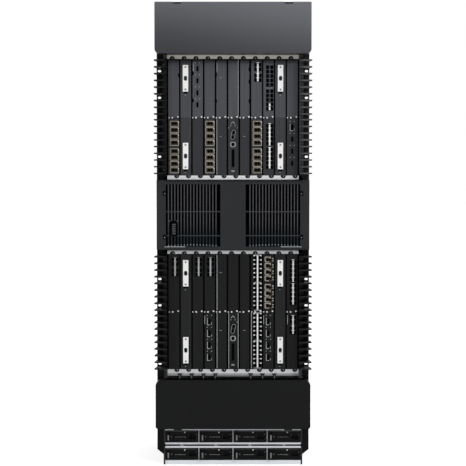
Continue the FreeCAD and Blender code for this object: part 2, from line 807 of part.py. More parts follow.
# Fabric modules: full-height cards with a lever at each end, each on a pin between two lugs
def fabric_modules():
    pivot_y = "-face_sheet - lever_stand"
    pivot_low = "(lever_inset + lever_tail)"
    pivot_high = "(card_height - %s)" % pivot_low
    lug_x = "(lever_width / 2 + side_play)"
    parts = card_blank("fabric", "card_height")
    holes = []
    for end, level in (("low", pivot_low), ("high", pivot_high)):
        for side, start in (("left", "-%s - lug_sheet" % lug_x), ("right", lug_x)):
            parts.append(block(
                "fabric_lug_%s_%s" % (end, side),
                (start, pivot_y + " - lug_half", level + " - lug_half"),
                ("lug_sheet", "lever_stand + lug_half", "2 * lug_half"),
            ))
        holes.append(rod(
            "fabric_pin_hole_" + end, "pin_radius", "2 * (%s + lug_sheet)" % lug_x,
            ("-%s - lug_sheet" % lug_x, pivot_y, level), ALONG_X,
        ))
    module = cut("fabric_master", fuse("fabric_whole", parts), holes)
    pin = rod(
        "lever_pin", "pin_radius", "2 * (%s + lug_sheet)" % lug_x,
        ("-%s - lug_sheet" % lug_x, "0", "0"), ALONG_X,
    )
    lever = lever_master()
    pins = []
    for cage, low in CAGE_LOW.items():
        for side, column in zip(("left", "right"), FABRIC_COLUMNS):
            stem = "%s_%s" % (cage, side)
            x = column_x(column)
            node(stem + "_fabric_module", copy(stem + "_module_body", module, (x, "-rack_plane", low)))
            for end, level, turn in (("bottom", pivot_low, None), ("top", pivot_high, UPSIDE_DOWN)):
                spot = (x, "-rack_plane + " + pivot_y, "%s + %s" % (low, level))
                label = "%s_%s_lever" % (stem, end)
                node(label, copy(label + "_body", lever, spot, turn))
                pins.append(copy(label + "_pin", pin, spot))
    node("lever_pins", group("lever_pin_group", pins))


# An ejector lever about its pivot: a square-ended bar with a thumb hole and a pin bore
def lever_master():
    body = doc.addObject("PartDesign::Body", "lever_master")
    front = [plane for plane in body.Origin.OriginFeatures if plane.Role == "XZ_Plane"][0]
    sketch = body.newObject("Sketcher::SketchObject", "lever_outline")
    sketch.AttachmentSupport = [(front, "")]
    sketch.MapMode = "FlatFace"
    half = sheet.lever_width / 2
    top = sheet.lever_length - sheet.lever_tail
    corners = [
        FreeCAD.Vector(-half, -sheet.lever_tail, 0), FreeCAD.Vector(half, -sheet.lever_tail, 0),
        FreeCAD.Vector(half, top, 0), FreeCAD.Vector(-half, top, 0),
    ]
    for side in range(4):
        sketch.addGeometry(Part.LineSegment(corners[side], corners[(side + 1) % 4]))
    for side in range(4):
        sketch.addConstraint(Sketcher.Constraint("Coincident", side, 2, (side + 1) % 4, 1))
        sketch.addConstraint(Sketcher.Constraint("Vertical" if side % 2 else "Horizontal", side))
    for kind, first, first_end, second, second_end, value, formula in (
        ("DistanceX", 0, 1, 0, 2, sheet.lever_width, "lever_width"),
        ("DistanceX", 0, 1, -1, 1, half, "lever_width / 2"),
        ("DistanceY", 0, 1, -1, 1, sheet.lever_tail, "lever_tail"),
        ("DistanceY", 1, 1, 1, 2, sheet.lever_length, "lever_length"),
    ):
        tie = sketch.addConstraint(Sketcher.Constraint(kind, first, first_end, second, second_end, value))
        bind(sketch, "Constraints[%d]" % tie, formula)
    pad = body.newObject("PartDesign::Pad", "lever_pad")
    pad.Profile = sketch
    pad.Midplane = True
    bind(pad, "Length", "lever_thick")
    doc.recompute()
    straight = "(lever_hole_height - lever_hole_width)"
    low = "(lever_length - lever_hole_height) / 2 - lever_tail + lever_hole_width / 2"
    thumb = fuse("lever_thumb_hole", [
        block("lever_hole_middle", ("-lever_hole_width / 2", "-lever_thick", low),
              ("lever_hole_width", "2 * lever_thick", straight)),
        rod("lever_hole_low", "lever_hole_width / 2", "2 * lever_thick", ("0", "-lever_thick", low), ALONG_Y),
        rod("lever_hole_high", "lever_hole_width / 2", "2 * lever_thick",
            ("0", "-lever_thick", "%s + %s" % (low, straight)), ALONG_Y),
    ])
    bore = rod(
        "lever_bore", "pin_radius + pin_play", "2 * lever_width", ("-lever_width", "0", "0"), ALONG_X,
    )
    return cut("lever", body, [thumb, bore])


# The hood: a shell with round lower corners, open behind, with two clip notches in its top
def hood():
    shell = wide_block("hood_block", COVER_WIDTH, ("-rack_plane - cover_reach", HOOD_LOW),
                       ("cover_reach", "hood_height"))
    lower = rounded("hood_lower_corners", shell, sheet.hood_corner, (bottom_corner,))
    outer = rounded("hood_outer", lower, sheet.hood_edge, (top_corner,))
    hollow = wide_block(
        "hood_hollow_block", COVER_WIDTH + " - 2 * cover_wall",
        ("-rack_plane - cover_reach + cover_wall", HOOD_LOW + " + cover_wall"),
        ("cover_reach", "hood_height - 2 * cover_wall"),
    )
    inner = rounded("hood_hollow", hollow, sheet.hood_corner - sheet.cover_wall, (bottom_corner,))
    node("hood", cut("hood_body", outer, [inner] + clip_notches("hood_clip", TOTAL_HEIGHT + " - clip_height")))


def clip_notches(stem, level):
    """Two notches for a cover's spring clips, in the front edge."""
    return [block(
        "%s_%d" % (stem, side + 1),
        ("%d * %s - clip_width / 2" % (side, CLIP_OUT), "-rack_plane - cover_reach", level),
        ("clip_width", "clip_depth", "2 * clip_height"),
    ) for side in (-1, 1)]


# The lower cover: sloped shoulders, round lower corners and two finger tabs, open behind
def lower_cover():
    def shape(stem, inset):
        half = "(%s / 2 - %s)" % (LOWER_COVER_WIDTH, inset)
        top = "(%s - %s)" % (COVER_TOP, inset)
        bottom = "(%s + %s)" % (COVER_LOW, inset)
        return outline(
            stem,
            (
                ("-" + half, bottom), (half, bottom), (half, top + " - shoulder_height"),
                (half + " - shoulder_width", top), ("-%s + shoulder_width" % half, top),
                ("-" + half, top + " - shoulder_height"),
            ),
            TURN_TO_FRONT,
        )

    solid = extrusion("lower_cover_block", shape("lower_cover_outline", "0"), "lower_cover_reach",
                      ("0", "-rack_plane", "0"))
    outer = rounded("lower_cover_outer", solid, sheet.lower_corner, (bottom_corner,))
    hollow = extrusion(
        "lower_cover_hollow", shape("lower_cover_inside", "cover_wall"),
        "lower_cover_reach", ("0", "-rack_plane + cover_wall", "0"),
    )
    shell = cut("lower_cover_shell", outer, [hollow])
    tabs = [block(
        "lower_cover_tab_%d" % (side + 1),
        ("%d * %s - clip_width / 2" % (side, CLIP_OUT), "-rack_plane - lower_cover_reach",
         COVER_LOW + " - tab_height"),
        ("clip_width", "tab_depth", "tab_height + cover_wall"),
    ) for side in (-1, 1)]
    node("lower_cover", fuse("lower_cover_body", [shell] + tabs))


# The cable tray: a sloped sheet under the lower cage with hooks at the column edges
def cable_tray():
    back_low = LOWER_LIP + " - tray_sheet"
    front = "-rack_plane - tray_reach"
    slope = extrusion(
        "tray_sheet_body",
        outline(
            "tray_outline",
            (
                ("-rack_plane", back_low), (front, back_low + " - tray_rise"),
                (front, back_low + " - tray_rise + tray_sheet"), ("-rack_plane - lip_reach", LOWER_LIP),
                ("-rack_plane + flange_sheet", LOWER_LIP), ("-rack_plane + flange_sheet", back_low),
            ),
            TURN_TO_SIDE,
        ),
        CAGE_WIDTH,
        ("-%s / 2" % CAGE_WIDTH, "0", "0"),
    )
    hooks = [block(
        "tray_hook_%d" % number,
        ("%g * column_pitch - tray_hook_width / 2" % edge, front, back_low + " - tray_rise"),
        ("tray_hook_width", "tray_hook", "tray_hook"),
    ) for number, edge in enumerate(HOOK_EDGES)]
    node("cable_tray", fuse("tray", [slope] + hooks))


# The air intake: a panel with two barred windows, and the filter that lies behind it
def intake():
    panel = wide_block("intake_block", RACK_WIDTH, ("-rack_plane - intake_thick", INTAKE_LOW),
                       ("intake_thick", "intake_height"))
    low = INTAKE_LOW + " + window_bottom"
    height = "(intake_height - window_top - window_bottom)"
    wide = "(%s - window_in)" % WINDOW_OUT
    front = "-rack_plane - intake_thick"
    windows = []
    bars = []
    for side, start, first in (
        ("left", "-" + WINDOW_OUT, "bar_inset_out"), ("right", "window_in", "bar_inset_in"),
    ):
        windows.append(block("window_" + side, (start, front, low), (wide, "intake_thick", height)))
        for bar in range(BARS_PER_WINDOW):
            middle = "%s + %s + %d * %s" % (start, first, bar, BAR_PITCH)
            bars.append(block(
                "bar_%s_%d" % (side, bar),
                (middle + " - bar_width / 2", front + " + bar_setback", low),
                ("bar_width", "bar_thick", height),
            ))
        for drop_name, drop in (("high", "cross_high"), ("low", "cross_low")):
            bars.append(block(
                "cross_%s_%s" % (side, drop_name),
                (start, front + " + bar_setback + bar_thick",
                 "%s + intake_height - %s - cross_bar / 2" % (INTAKE_LOW, drop)),
                (wide, "bar_thick", "cross_bar"),
            ))
    node("intake_panel", fuse("intake_body", [cut("intake_frame", panel, windows)] + bars))
    node("intake_filter", wide_block(
        "filter_pad", INNER_WIDTH, ("-rack_plane", INTAKE_LOW + " + seam"),
        ("filter_thick", "intake_height - 2 * seam"),
    ))


# Cable combs: flat fingers on a strip, whose outer edges slant out from the flange to the tip
def cable_combs():
    front = "-rack_plane - finger_reach"
    inner = "-" + COMB_INNER
    tip = "-(%s / 2 + finger_overhang)" % RACK_WIDTH
    finger = extrusion(
        "comb_finger",
        outline(
            "comb_finger_outline",
            (
                (inner, "-rack_plane"), (inner, front + " + finger_chamfer"),
                (inner + " - finger_chamfer", front), (tip + " + finger_nose", front),
                (tip, front + " + finger_nose"), ("-%s / 2" % RACK_WIDTH, "-rack_plane"),
            ),
            TURN_FLAT,
        ),
        "finger_height",
    )
    strip = block(
        "comb_strip", (inner + " - comb_base", "-rack_plane - comb_sheet", "0"),
        ("comb_base", "comb_sheet", COMB_HEIGHT),
    )
    fingers = [copy("finger_%d" % index, finger, ("0", "0", "%d * %s" % (index, FINGER_PITCH)))
               for index in range(FINGERS)]
    unit = fuse("comb_unit", [strip] + fingers)
    for cage in CAGE_LOW:
        left = node("%s_left_combs" % cage, group("%s_combs" % cage, [
            copy("%s_comb_%d" % (cage, number), unit, ("0", "0", comb_foot(cage, number)))
            for number in (0, 1)
        ]))
        node("%s_right_combs" % cage, mirror("%s_right_comb_group" % cage, left))


# A fan guard about the fan's axis: rings and spokes that carry the motor and its shaft
def fan_guard():
    rear = "rear_plane - guard_sheet"

    def ring(stem, radius):
        whole = rod(stem + "_out", radius, "guard_sheet", ("0", rear, "0"), ALONG_Y)
        hole = rod(stem + "_in", radius + " - guard_ring", "3 * guard_sheet",
                   ("0", rear + " - guard_sheet", "0"), ALONG_Y)
        return cut(stem, whole, [hole])

    across = "(2 * %s + guard_ring)" % FAN_RADIUS
    return fuse("fan_guard", [
        ring("guard_mid_ring", "guard_mid"),
        block("guard_spoke_a", ("-%s / 2" % across, rear, "-spoke_width / 2"),
              (across, "guard_sheet", "spoke_width")),
        block("guard_spoke_b", ("-spoke_width / 2", rear, "-%s / 2" % across),
              ("spoke_width", "guard_sheet", across)),
        rod("guard_motor", "motor_radius", "motor_depth", ("0", "rear_plane - motor_depth", "0"), ALONG_Y),
        rod("guard_shaft", "shaft_radius", "motor_depth + shaft_reach",
            ("0", "rear_plane - motor_depth - shaft_reach", "0"), ALONG_Y),
    ])


# A rotor about its own axis: a cupped hub with a ring of cambered blades
def fan_rotor():
    hub_rear = "rear_plane - motor_depth - rotor_gap"
    hub_front = "(%s - hub_depth)" % hub_rear
    hub = rod("rotor_hub", "hub_radius", "hub_depth", ("0", hub_front, "0"), ALONG_Y)
    bore = rod(
        "rotor_bore", "shaft_radius + shaft_play", "hub_depth",
        ("0", "rear_plane - motor_depth - shaft_reach - rotor_gap", "0"), ALONG_Y,
    )
    half = "blade_chord / 2"
    fall = "blade_drop / 2"
    middle_y = "(%s + hub_depth / 2)" % hub_front
    blade = extrusion(
        "rotor_blade",
        outline(
            "rotor_blade_outline",
            (
                ("%s - %s" % (middle_y, fall), "-" + half),
                ("%s + blade_camber" % middle_y, "0"),
                ("%s + %s" % (middle_y, fall), half),
                ("%s + %s - blade_sheet" % (middle_y, fall), half),
                ("%s + blade_camber - blade_sheet" % middle_y, "0"),
                ("%s - %s - blade_sheet" % (middle_y, fall), "-" + half),
            ),
            TURN_TO_SIDE,
        ),
        FAN_RADIUS + " - tip_play",
    )
    blades = [copy("rotor_blade_%d" % index, blade, ("0", "0", "0"),
                   FreeCAD.Rotation(FreeCAD.Vector(0, 1, 0), 360.0 * index / BLADES))
              for index in range(BLADES)]
    return cut("fan_rotor", fuse("rotor_whole", [hub] + blades), [bore])


# Fan trays in the rear, above and below the card cages, each with three fans and two pulls
def fan_trays():
    guard = fan_guard()
    rotor = fan_rotor()
    tray_back = "rear_plane - tray_plate"
    pull_low = "-pull_width / 2"
    for name, low, high in (
        ("lower", COVER_LOW, COVER_TOP),
        ("upper", HOOD_LOW, "(%s - wall_sheet - tray_play)" % TOTAL_HEIGHT),
    ):
        height = "(%s - %s)" % (high, low)
        middle = "(%s + %s / 2)" % (low, height)
        plate = wide_block(name + "_tray_plate", TRAY_WIDTH, (tray_back, low), ("tray_plate", height))
        shelf = wide_block(name + "_tray_shelf", TRAY_WIDTH, ("rear_plane - shelf_depth", low),
                           ("shelf_depth", "tray_plate"))
        roof = wide_block(name + "_tray_roof", TRAY_WIDTH,
                          ("rear_plane - shelf_depth", "%s - tray_plate" % high), ("shelf_depth", "tray_plate"))
        mouths = []
        fittings = []
        for fan in range(FANS_PER_TRAY):
            x = "%g * %s" % (fan - (FANS_PER_TRAY - 1) / 2, FAN_SPACING)
            stem = "%s_fan_%d" % (name, fan + 1)
            mouths.append(rod(stem + "_mouth", FAN_RADIUS, "3 * tray_plate",
                              (x, tray_back + " - tray_plate", middle), ALONG_Y))
            fittings.append(copy(stem + "_guard", guard, (x, "0", middle)))
            node("%s_fan_rotor_%d" % (name, fan + 1), copy(stem + "_rotor_body", rotor, (x, "0", middle)))
        for side in (-1, 1):
            pull = extrusion(
                "%s_pull_%d" % (name, side + 1),
                outline(
                    "%s_pull_outline_%d" % (name, side + 1),
                    (
                        (pull_low, "-rear_plane"), (pull_low, "-rear_plane - pull_reach"),
                        ("pull_width / 2", "-rear_plane - pull_reach"), ("pull_width / 2", "-rear_plane"),
                        ("pull_width / 2 - pull_bar", "-rear_plane"),
                        ("pull_width / 2 - pull_bar", "-rear_plane - pull_reach + pull_bar"),
                        (pull_low + " + pull_bar", "-rear_plane - pull_reach + pull_bar"),
                        (pull_low + " + pull_bar", "-rear_plane"),
                    ),
                    FreeCAD.Rotation(FreeCAD.Vector(1, 0, 0), 180),
                ),
                "pull_height",
                ("%d * %s / 2" % (side, FAN_SPACING), "0", middle + " + pull_height / 2"),
            )
            fittings.append(pull)
        body = cut(name + "_tray_open", fuse(name + "_tray_sheet", [plate, shelf, roof]), mouths)
        node(name + "_fan_tray", fuse(name + "_tray", [body] + fittings))


# Rear panels: a vented sheet behind the cages and a plain one behind the power bay
def rear_panels():
    back = "rear_plane - wall_sheet"
    column_width = "(%s / 3)" % REAR_WIDTH
    vent_width = "(%s - vent_web)" % column_width
    low = COVER_TOP + " + tray_play"
    height = "(%s - tray_play - (%s))" % (HOOD_LOW, low)
    pitch = "((%s - 2 * vent_inset) / %d)" % (height, VENT_ROWS - 1)
    panel = wide_block("rear_sheet", REAR_WIDTH, (back, low), ("wall_sheet", height))
    vents = []
    for row_number in range(VENT_ROWS):
        for column in (-1, 0, 1):
            vents.append(block(
                "vent_%d_%d" % (row_number, column + 1),
                (
                    "%d * %s - %s / 2" % (column, column_width, vent_width), back + " - wall_sheet",
                    "%s + vent_inset + %d * %s - vent_height / 2" % (low, row_number, pitch),
                ),
                (vent_width, "3 * wall_sheet", "vent_height"),
            ))
    node("rear_panel", cut("rear_vented", panel, vents))
    node("power_rear_panel", wide_block(
        "power_rear_sheet", REAR_WIDTH, (back, "wall_sheet"),
        ("wall_sheet", "%s - tray_play - wall_sheet" % COVER_LOW),
    ))


side_wall()
top_and_bottom()
power_bay()
power_supplies()
cage_shelves()
backplane()
line_cards()
filler_panels()
fabric_modules()
hood()
lower_cover()
cable_tray()
intake()
cable_combs()
fan_trays()
rear_panels()
doc.recompute()

for item in doc.Objects:
    if "Invalid" in item.State or "Error" in item.State:
        raise RuntimeError("%s failed to build" % item.Name)
for item in nodes:
    if item.Shape.isNull() or not item.Shape.isValid():
        raise RuntimeError("%s has no valid shape" % item.Label)

os.makedirs("parts", exist_ok=True)
for item in nodes:
    item.Shape.exportStep(os.path.join("parts", item.Label + ".step"))
    print("%-28s %2d solids  %10.0f mm3" % (item.Label, len(item.Shape.Solids), item.Shape.Volume))
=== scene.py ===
"""Dressed studio scene of a tall rack-mount chassis router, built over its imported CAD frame."""
import logging
import math
from dataclasses import dataclass, replace
from enum import Enum
from typing import Any, Sequence

import bmesh
import bpy
from mathutils import Matrix, Vector


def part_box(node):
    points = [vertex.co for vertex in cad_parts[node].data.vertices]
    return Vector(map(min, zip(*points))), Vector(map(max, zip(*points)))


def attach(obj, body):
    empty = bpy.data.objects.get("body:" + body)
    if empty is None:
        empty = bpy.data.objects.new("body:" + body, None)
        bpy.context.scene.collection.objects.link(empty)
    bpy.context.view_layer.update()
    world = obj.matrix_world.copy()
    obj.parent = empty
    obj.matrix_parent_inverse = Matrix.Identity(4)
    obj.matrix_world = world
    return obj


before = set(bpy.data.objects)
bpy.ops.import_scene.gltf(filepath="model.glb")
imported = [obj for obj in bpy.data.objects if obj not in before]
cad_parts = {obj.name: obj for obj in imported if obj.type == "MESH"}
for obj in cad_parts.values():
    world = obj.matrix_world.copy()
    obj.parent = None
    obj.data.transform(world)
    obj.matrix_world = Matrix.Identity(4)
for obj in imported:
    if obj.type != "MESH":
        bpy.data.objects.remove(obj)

LOG = logging.getLogger("chassis_router")
MILLIMETRE = 0.001
SMOOTH_ANGLE = 32.0
SIDES = (-1, 1)
Point = tuple[float, float]
Triple = tuple[float, float, float]
Colour = tuple[float, float, float, float]

# Depths and widths that several sub-assemblies share, in millimetres
CARD_FRONT = -249.0
LIP_FRONT = -252.0
FLANGE_FRONT = -246.0
COLUMN_PITCH = 37.5
COLUMN_COUNT = 11
CARD_SPLIT = 0.6
# Height between the two cages, in metres as the finishes measure it
CAGE_SPLIT = 0.8
# Places of the cable tray's hooks, in metres from the middle
HOOKS = tuple(edge * COLUMN_PITCH * MILLIMETRE for edge in (-4.5, -3.5, -2.5, -1.5, 1.5, 2.5, 3.5))


def tone(code: str) -> Colour:
    """Linear colour of a six-digit screen colour, by the usual screen curve.

    Args:
        code: two hexadecimal digits each for red, green and blue.
    Returns:
        The colour as shader sockets take it.
    """
    parts = [int(code[start:start + 2], 16) / 255.0 for start in (0, 2, 4)]
    linear = [part / 12.92 if part <= 0.04045 else ((part + 0.055) / 1.055) ** 2.4 for part in parts]
    return (linear[0], linear[1], linear[2], 1.0)


def grey(level: float) -> Colour:
    """A plain grey of a linear level."""
    return (level, level, level, 1.0)


# ---------------------------------------------------------------- shader graphs


class Signal:
    """One shader socket that takes part in Python expressions."""

    def __init__(self, graph: "Graph", socket: bpy.types.NodeSocket) -> None:
        """Keeps the socket and the graph that it belongs to."""
        self.graph = graph
        self.socket = socket

    def _math(self, operation: str, first: Any, second: Any) -> "Signal":
        """A Math node on two values, either of which may be a number."""
        return self.graph.add("ShaderNodeMath", {"operation": operation}, {0: first, 1: second})

    def __add__(self, other: Any) -> "Signal":
        """Sum with a number or signal."""
        return self._math("ADD", self, other)

    def __radd__(self, other: Any) -> "Signal":
        """Sum with a number on the left."""
        return self._math("ADD", other, self)

    def __sub__(self, other: Any) -> "Signal":
        """Difference with a number or signal."""
        return self._math("SUBTRACT", self, other)

    def __rsub__(self, other: Any) -> "Signal":
        """Difference from a number on the left."""
        return self._math("SUBTRACT", other, self)

    def __mul__(self, other: Any) -> "Signal":
        """Product with a number or signal."""
        return self._math("MULTIPLY", self, other)

    def __rmul__(self, other: Any) -> "Signal":
        """Product with a number on the left."""
        return self._math("MULTIPLY", other, self)

    def __gt__(self, other: Any) -> "Signal":
        """One where the signal is above the other, else nought."""
        return self._math("GREATER_THAN", self, other)

    def __lt__(self, other: Any) -> "Signal":
        """One where the signal is below the other, else nought."""
        return self._math("LESS_THAN", self, other)

    def __or__(self, other: Any) -> "Signal":
        """The larger of two masks."""
        return self._math("MAXIMUM", self, other)

    def size(self) -> "Signal":
        """The signal without its sign."""
        return self._math("ABSOLUTE", self, 0.0)

    def swing(self, reach: float) -> "Signal":
        """The signal folded to and fro between nought and a reach."""
        return self._math("PINGPONG", self, reach)

    def ramp(self, low: float, high: float) -> "Signal":
        """Nought below low, one above high, with a smooth step between."""
        settings = {"interpolation_type": "SMOOTHSTEP"}
        return self.graph.add("ShaderNodeMapRange", settings, {0: self, 1: low, 2: high, 3: 0.0, 4: 1.0})


class Graph:
    """Builds the nodes of one material or world."""

    def __init__(self, owner: bpy.types.ID) -> None:
        """Clears the owner's node tree.

        Args:
            owner: the material or world.
        """
        owner.use_nodes = True
        self.tree = owner.node_tree
        self.tree.nodes.clear()

    def add(self, kind: str, settings: dict[str, Any] | None = None,
            inputs: dict[Any, Any] | None = None, output: Any = 0) -> Signal:
        """Adds any node.

        Args:
            kind: the node's type.
            settings: properties set first.
            inputs: socket values or signals by name or number.
            output: the name or number of the output that is returned.
        Returns:
            The chosen output as a signal.
        """
        node = self.tree.nodes.new(kind)
        for name, value in (settings or {}).items():
            setattr(node, name, value)
        for key, value in (inputs or {}).items():
            if isinstance(value, Signal):
                self.tree.links.new(value.socket, node.inputs[key])
            else:
                node.inputs[key].default_value = value
        return Signal(self, node.outputs[output] if node.outputs else node.inputs[0])

    def place(self, output: str = "Object") -> Signal:
        """A coordinate of the surface, in the piece's own frame."""
        return self.add("ShaderNodeTexCoord", output=output)

    def axis(self, letter: str, output: str = "Object") -> Signal:
        """One coordinate in metres: X to the right, Y to the back, Z up."""
        return self.add("ShaderNodeSeparateXYZ", inputs={0: self.place(output)}, output=letter)

    def ray(self, kind: str) -> Signal:
        """One where a light path is of a kind, such as Camera, else nought."""
        return self.add("ShaderNodeLightPath", output="Is %s Ray" % kind)

    def stretched(self, stretch: Sequence[float]) -> Signal:
        """The piece's coordinates, scaled along each axis."""
        settings = {"operation": "MULTIPLY"}
        return self.add("ShaderNodeVectorMath", settings, {0: self.place(), 1: tuple(stretch)})

    def noise(self, scale: float, stretch: Sequence[float] = (1.0, 1.0, 1.0), detail: float = 3.0) -> Signal:
        """Cloudy noise from nought to one, with so many cells a metre."""
        inputs = {"Vector": self.stretched(stretch), "Scale": scale, "Detail": detail}
        return self.add("ShaderNodeTexNoise", inputs=inputs)

    def mix(self, mask: Any, first: Any, second: Any) -> Signal:
        """A colour that goes from first to second as the mask goes from nought to one."""
        return self.add("ShaderNodeMix", {"data_type": "RGBA"}, {0: mask, 6: first, 7: second}, 2)

    def surface(self, shader: Signal) -> None:
        """Joins the shader to the material's output."""
        self.add("ShaderNodeOutputMaterial", inputs={"Surface": shader})


# ---------------------------------------------------------------- finishes


@dataclass(frozen=True)
class Finish:
    """A finish whose colour drifts between two tones, with its own gloss and fine grain."""

    name: str
    slot: str
    dark: str
    light: str
    rough: float = 0.5
    rough_drift: float = 0.12
    rough_cells: float = 9.0
    metal: float = 0.0
    drift: float = 7.0
    stretch: Triple = (1.0, 1.0, 1.0)
    grain: float = 1400.0
    grain_stretch: Triple = (1.0, 1.0, 1.0)
    grain_detail: float = 2.0
    relief: float = 0.12
    depth: float = 0.0003
    specular: float = 0.5

    def colour(self, graph: Graph) -> Signal:
        """The base colour over the surface."""
        return graph.mix(graph.noise(self.drift, self.stretch), tone(self.dark), tone(self.light))

    def roughness(self, graph: Graph) -> Signal:
        """The roughness over the surface."""
        spots = graph.noise(self.drift * self.rough_cells, self.stretch)
        return spots * self.rough_drift + (self.rough - self.rough_drift / 2)

    def metalness(self, graph: Graph) -> Any:
        """The share of metal, as a number or a mask."""
        return self.metal

    def height(self, graph: Graph) -> Signal:
        """The fine relief of the surface."""
        return graph.noise(self.grain, self.grain_stretch, self.grain_detail)

    def material(self) -> bpy.types.Material:
        """The finish as a material, made once.

        Returns:
            The material that pieces and nodes share.
        """
        name = self.name + "_finish"
        found = bpy.data.materials.get(name)
        if found:
            return found
        made = bpy.data.materials.new(name)
        graph = Graph(made)
        normal = graph.add("ShaderNodeBump", inputs={
            "Strength": self.relief, "Distance": self.depth, "Height": self.height(graph)})
        graph.surface(graph.add("ShaderNodeBsdfPrincipled", inputs={
            "Base Color": self.colour(graph), "Roughness": self.roughness(graph),
            "Metallic": self.metalness(graph), "Specular IOR Level": self.specular, "Normal": normal}))
        return made


@dataclass(frozen=True)
class HoodPaint(Finish):
    """Charcoal paint with a painted sheen that turns paler towards the hood's top right corner."""

    # Painted sheen: the pale tone towards the hood's top right corner
    pale: str = "6c6d72"
    foot: float = 1.305
    left: float = -0.245
    by_height: float = 4.7
    by_width: float = 0.7
    full: float = 1.25

    def colour(self, graph: Graph) -> Signal:
        """Charcoal, with a painted sheen that is paler up and to the right."""
        # Painted sheen, rising up and to the right
        sheen_rise = (graph.axis("Z") - self.foot) * self.by_height + (graph.axis("X") - self.left) * self.by_width
        return graph.mix(sheen_rise.ramp(0.0, self.full), super().colour(graph), tone(self.pale))


@dataclass(frozen=True)
class CardPaint(Finish):
    """Card faces with upright streaks: one paint in tones by cage and half that are painted light and shade, grey
    in the upper cage, darker in its lower half and near black in the lower cage.
    """

    # Painted shade: darker copies of the face paint for the upper cage's lower half and for the lower cage
    half_dark: str = "2a2b2e"
    half_light: str = "3a3b3f"
    low_dark: str = "0c0d0e"
    low_light: str = "18191a"
    strip: str = "eceded"
    dim_strip: str = "adafb1"
    faint_strip: str = "37383b"
    # Painted shadow of the hood on the tops of the upper cards
    shade: str = "121314"
    # Painted shade on the port floors and card sides
    card_recess_shade: str = "020202"
    board: str = "3d4a3a"
    streak_cells: float = 170.0
    streak_stretch: Triple = (1.0, 0.05, 0.02)
    streak_detail: float = 4.0
    shade_levels: Point = (1.270, 1.2905)
    half_split: float = 1.1066
    dim_left: float = -0.05
    faint_low: float = 1.15
    faint_right: float = 0.1
    strip_front: float = -0.2492
    recess_front: float = -0.2462
    board_front: float = -0.234

    def face(self, graph: Graph) -> Signal:
        """Face tones by cage and half as painted light and shade, with a painted shadow under the hood.

        Args:
            graph: that gets the nodes.
        Returns:
            The face's colour.
        """
        level = graph.axis("Z")
        streaks = graph.noise(self.streak_cells, self.streak_stretch, self.streak_detail)
        # The same paint, lit in the upper cage and in painted shade below it
        upper = graph.mix(streaks, tone(self.dark), tone(self.light))
        half = graph.mix(streaks, tone(self.half_dark), tone(self.half_light))
        lower = graph.mix(streaks, tone(self.low_dark), tone(self.low_light))
        # Painted shadow under the hood
        upper = graph.mix(level.ramp(*self.shade_levels), upper, tone(self.shade))
        return graph.mix(level > CAGE_SPLIT, lower, graph.mix(level > self.half_split, half, upper))

    def colour(self, graph: Graph) -> Signal:
        """The face, then the raised strips, the port floors and card sides in painted shade, and the board behind.

        Args:
            graph: that gets the nodes.
        Returns:
            The base colour.
        """
        across, depth, level = (graph.axis(letter) for letter in "XYZ")
        strip = graph.mix((across < self.dim_left) * (level < CAGE_SPLIT), tone(self.strip), tone(self.dim_strip))
        strip = graph.mix((level > self.faint_low) * (across > self.faint_right), strip, tone(self.faint_strip))
        face = graph.mix(depth < self.strip_front, self.face(graph), strip)
        # Painted shade: what is set back from the face, in the ports and between the cards, is near black
        face = graph.mix(depth > self.recess_front, face, tone(self.card_recess_shade))
        return graph.mix(depth > self.board_front, face, tone(self.board))


@dataclass(frozen=True)
class PlatePaint(CardPaint):
    """The cards' paint on raised plates, without strips or ports."""

    def colour(self, graph: Graph) -> Signal:
        """The face tone at any depth."""
        return self.face(graph)


@dataclass(frozen=True)
class LipSheet(Finish):
    """Bright plated lips, with painted shade in their notches and behind them, a dimmer tone in the lower cage as
    painted shade, and painted shadows under the hood and the intake.
    """

    # Painted shade on the floors of the notches and on everything behind the lips' front
    lip_recess_shade: str = "020202"
    # Painted shadow of the hood on the upper ceiling lip
    lip_hood_shadow: str = "cfccc1"
    # Painted shade: the dimmer tone of the lower cage's lips
    lower: str = "c6c8ca"
    lower_share: float = 0.7
    notch_front: float = -0.2472
    hood_level: float = 1.28
    shadow_level: float = 0.6845

    def colour(self, graph: Graph) -> Signal:
        """Plated front, with painted shade on the floors of the notches, the shelves and the seal strip, a dimmer
        tone in the lower cage as painted shade, and painted shadows under the intake and the hood.

        Args:
            graph: that gets the nodes.
        Returns:
            The base colour.
        """
        level = graph.axis("Z")
        # Painted shade: the lower cage's lips are dimmed
        front = graph.mix((level < CAGE_SPLIT) * self.lower_share, super().colour(graph), tone(self.lower))
        # Painted shadow of the hood
        front = graph.mix(level > self.hood_level, front, tone(self.lip_hood_shadow))
        # Painted shadow of the intake panel on the top of the lower ceiling lip
        intake_shadow = (level > self.shadow_level) * (level < CAGE_SPLIT)
        return graph.mix((graph.axis("Y") > self.notch_front) | intake_shadow, front, tone(self.lip_recess_shade))


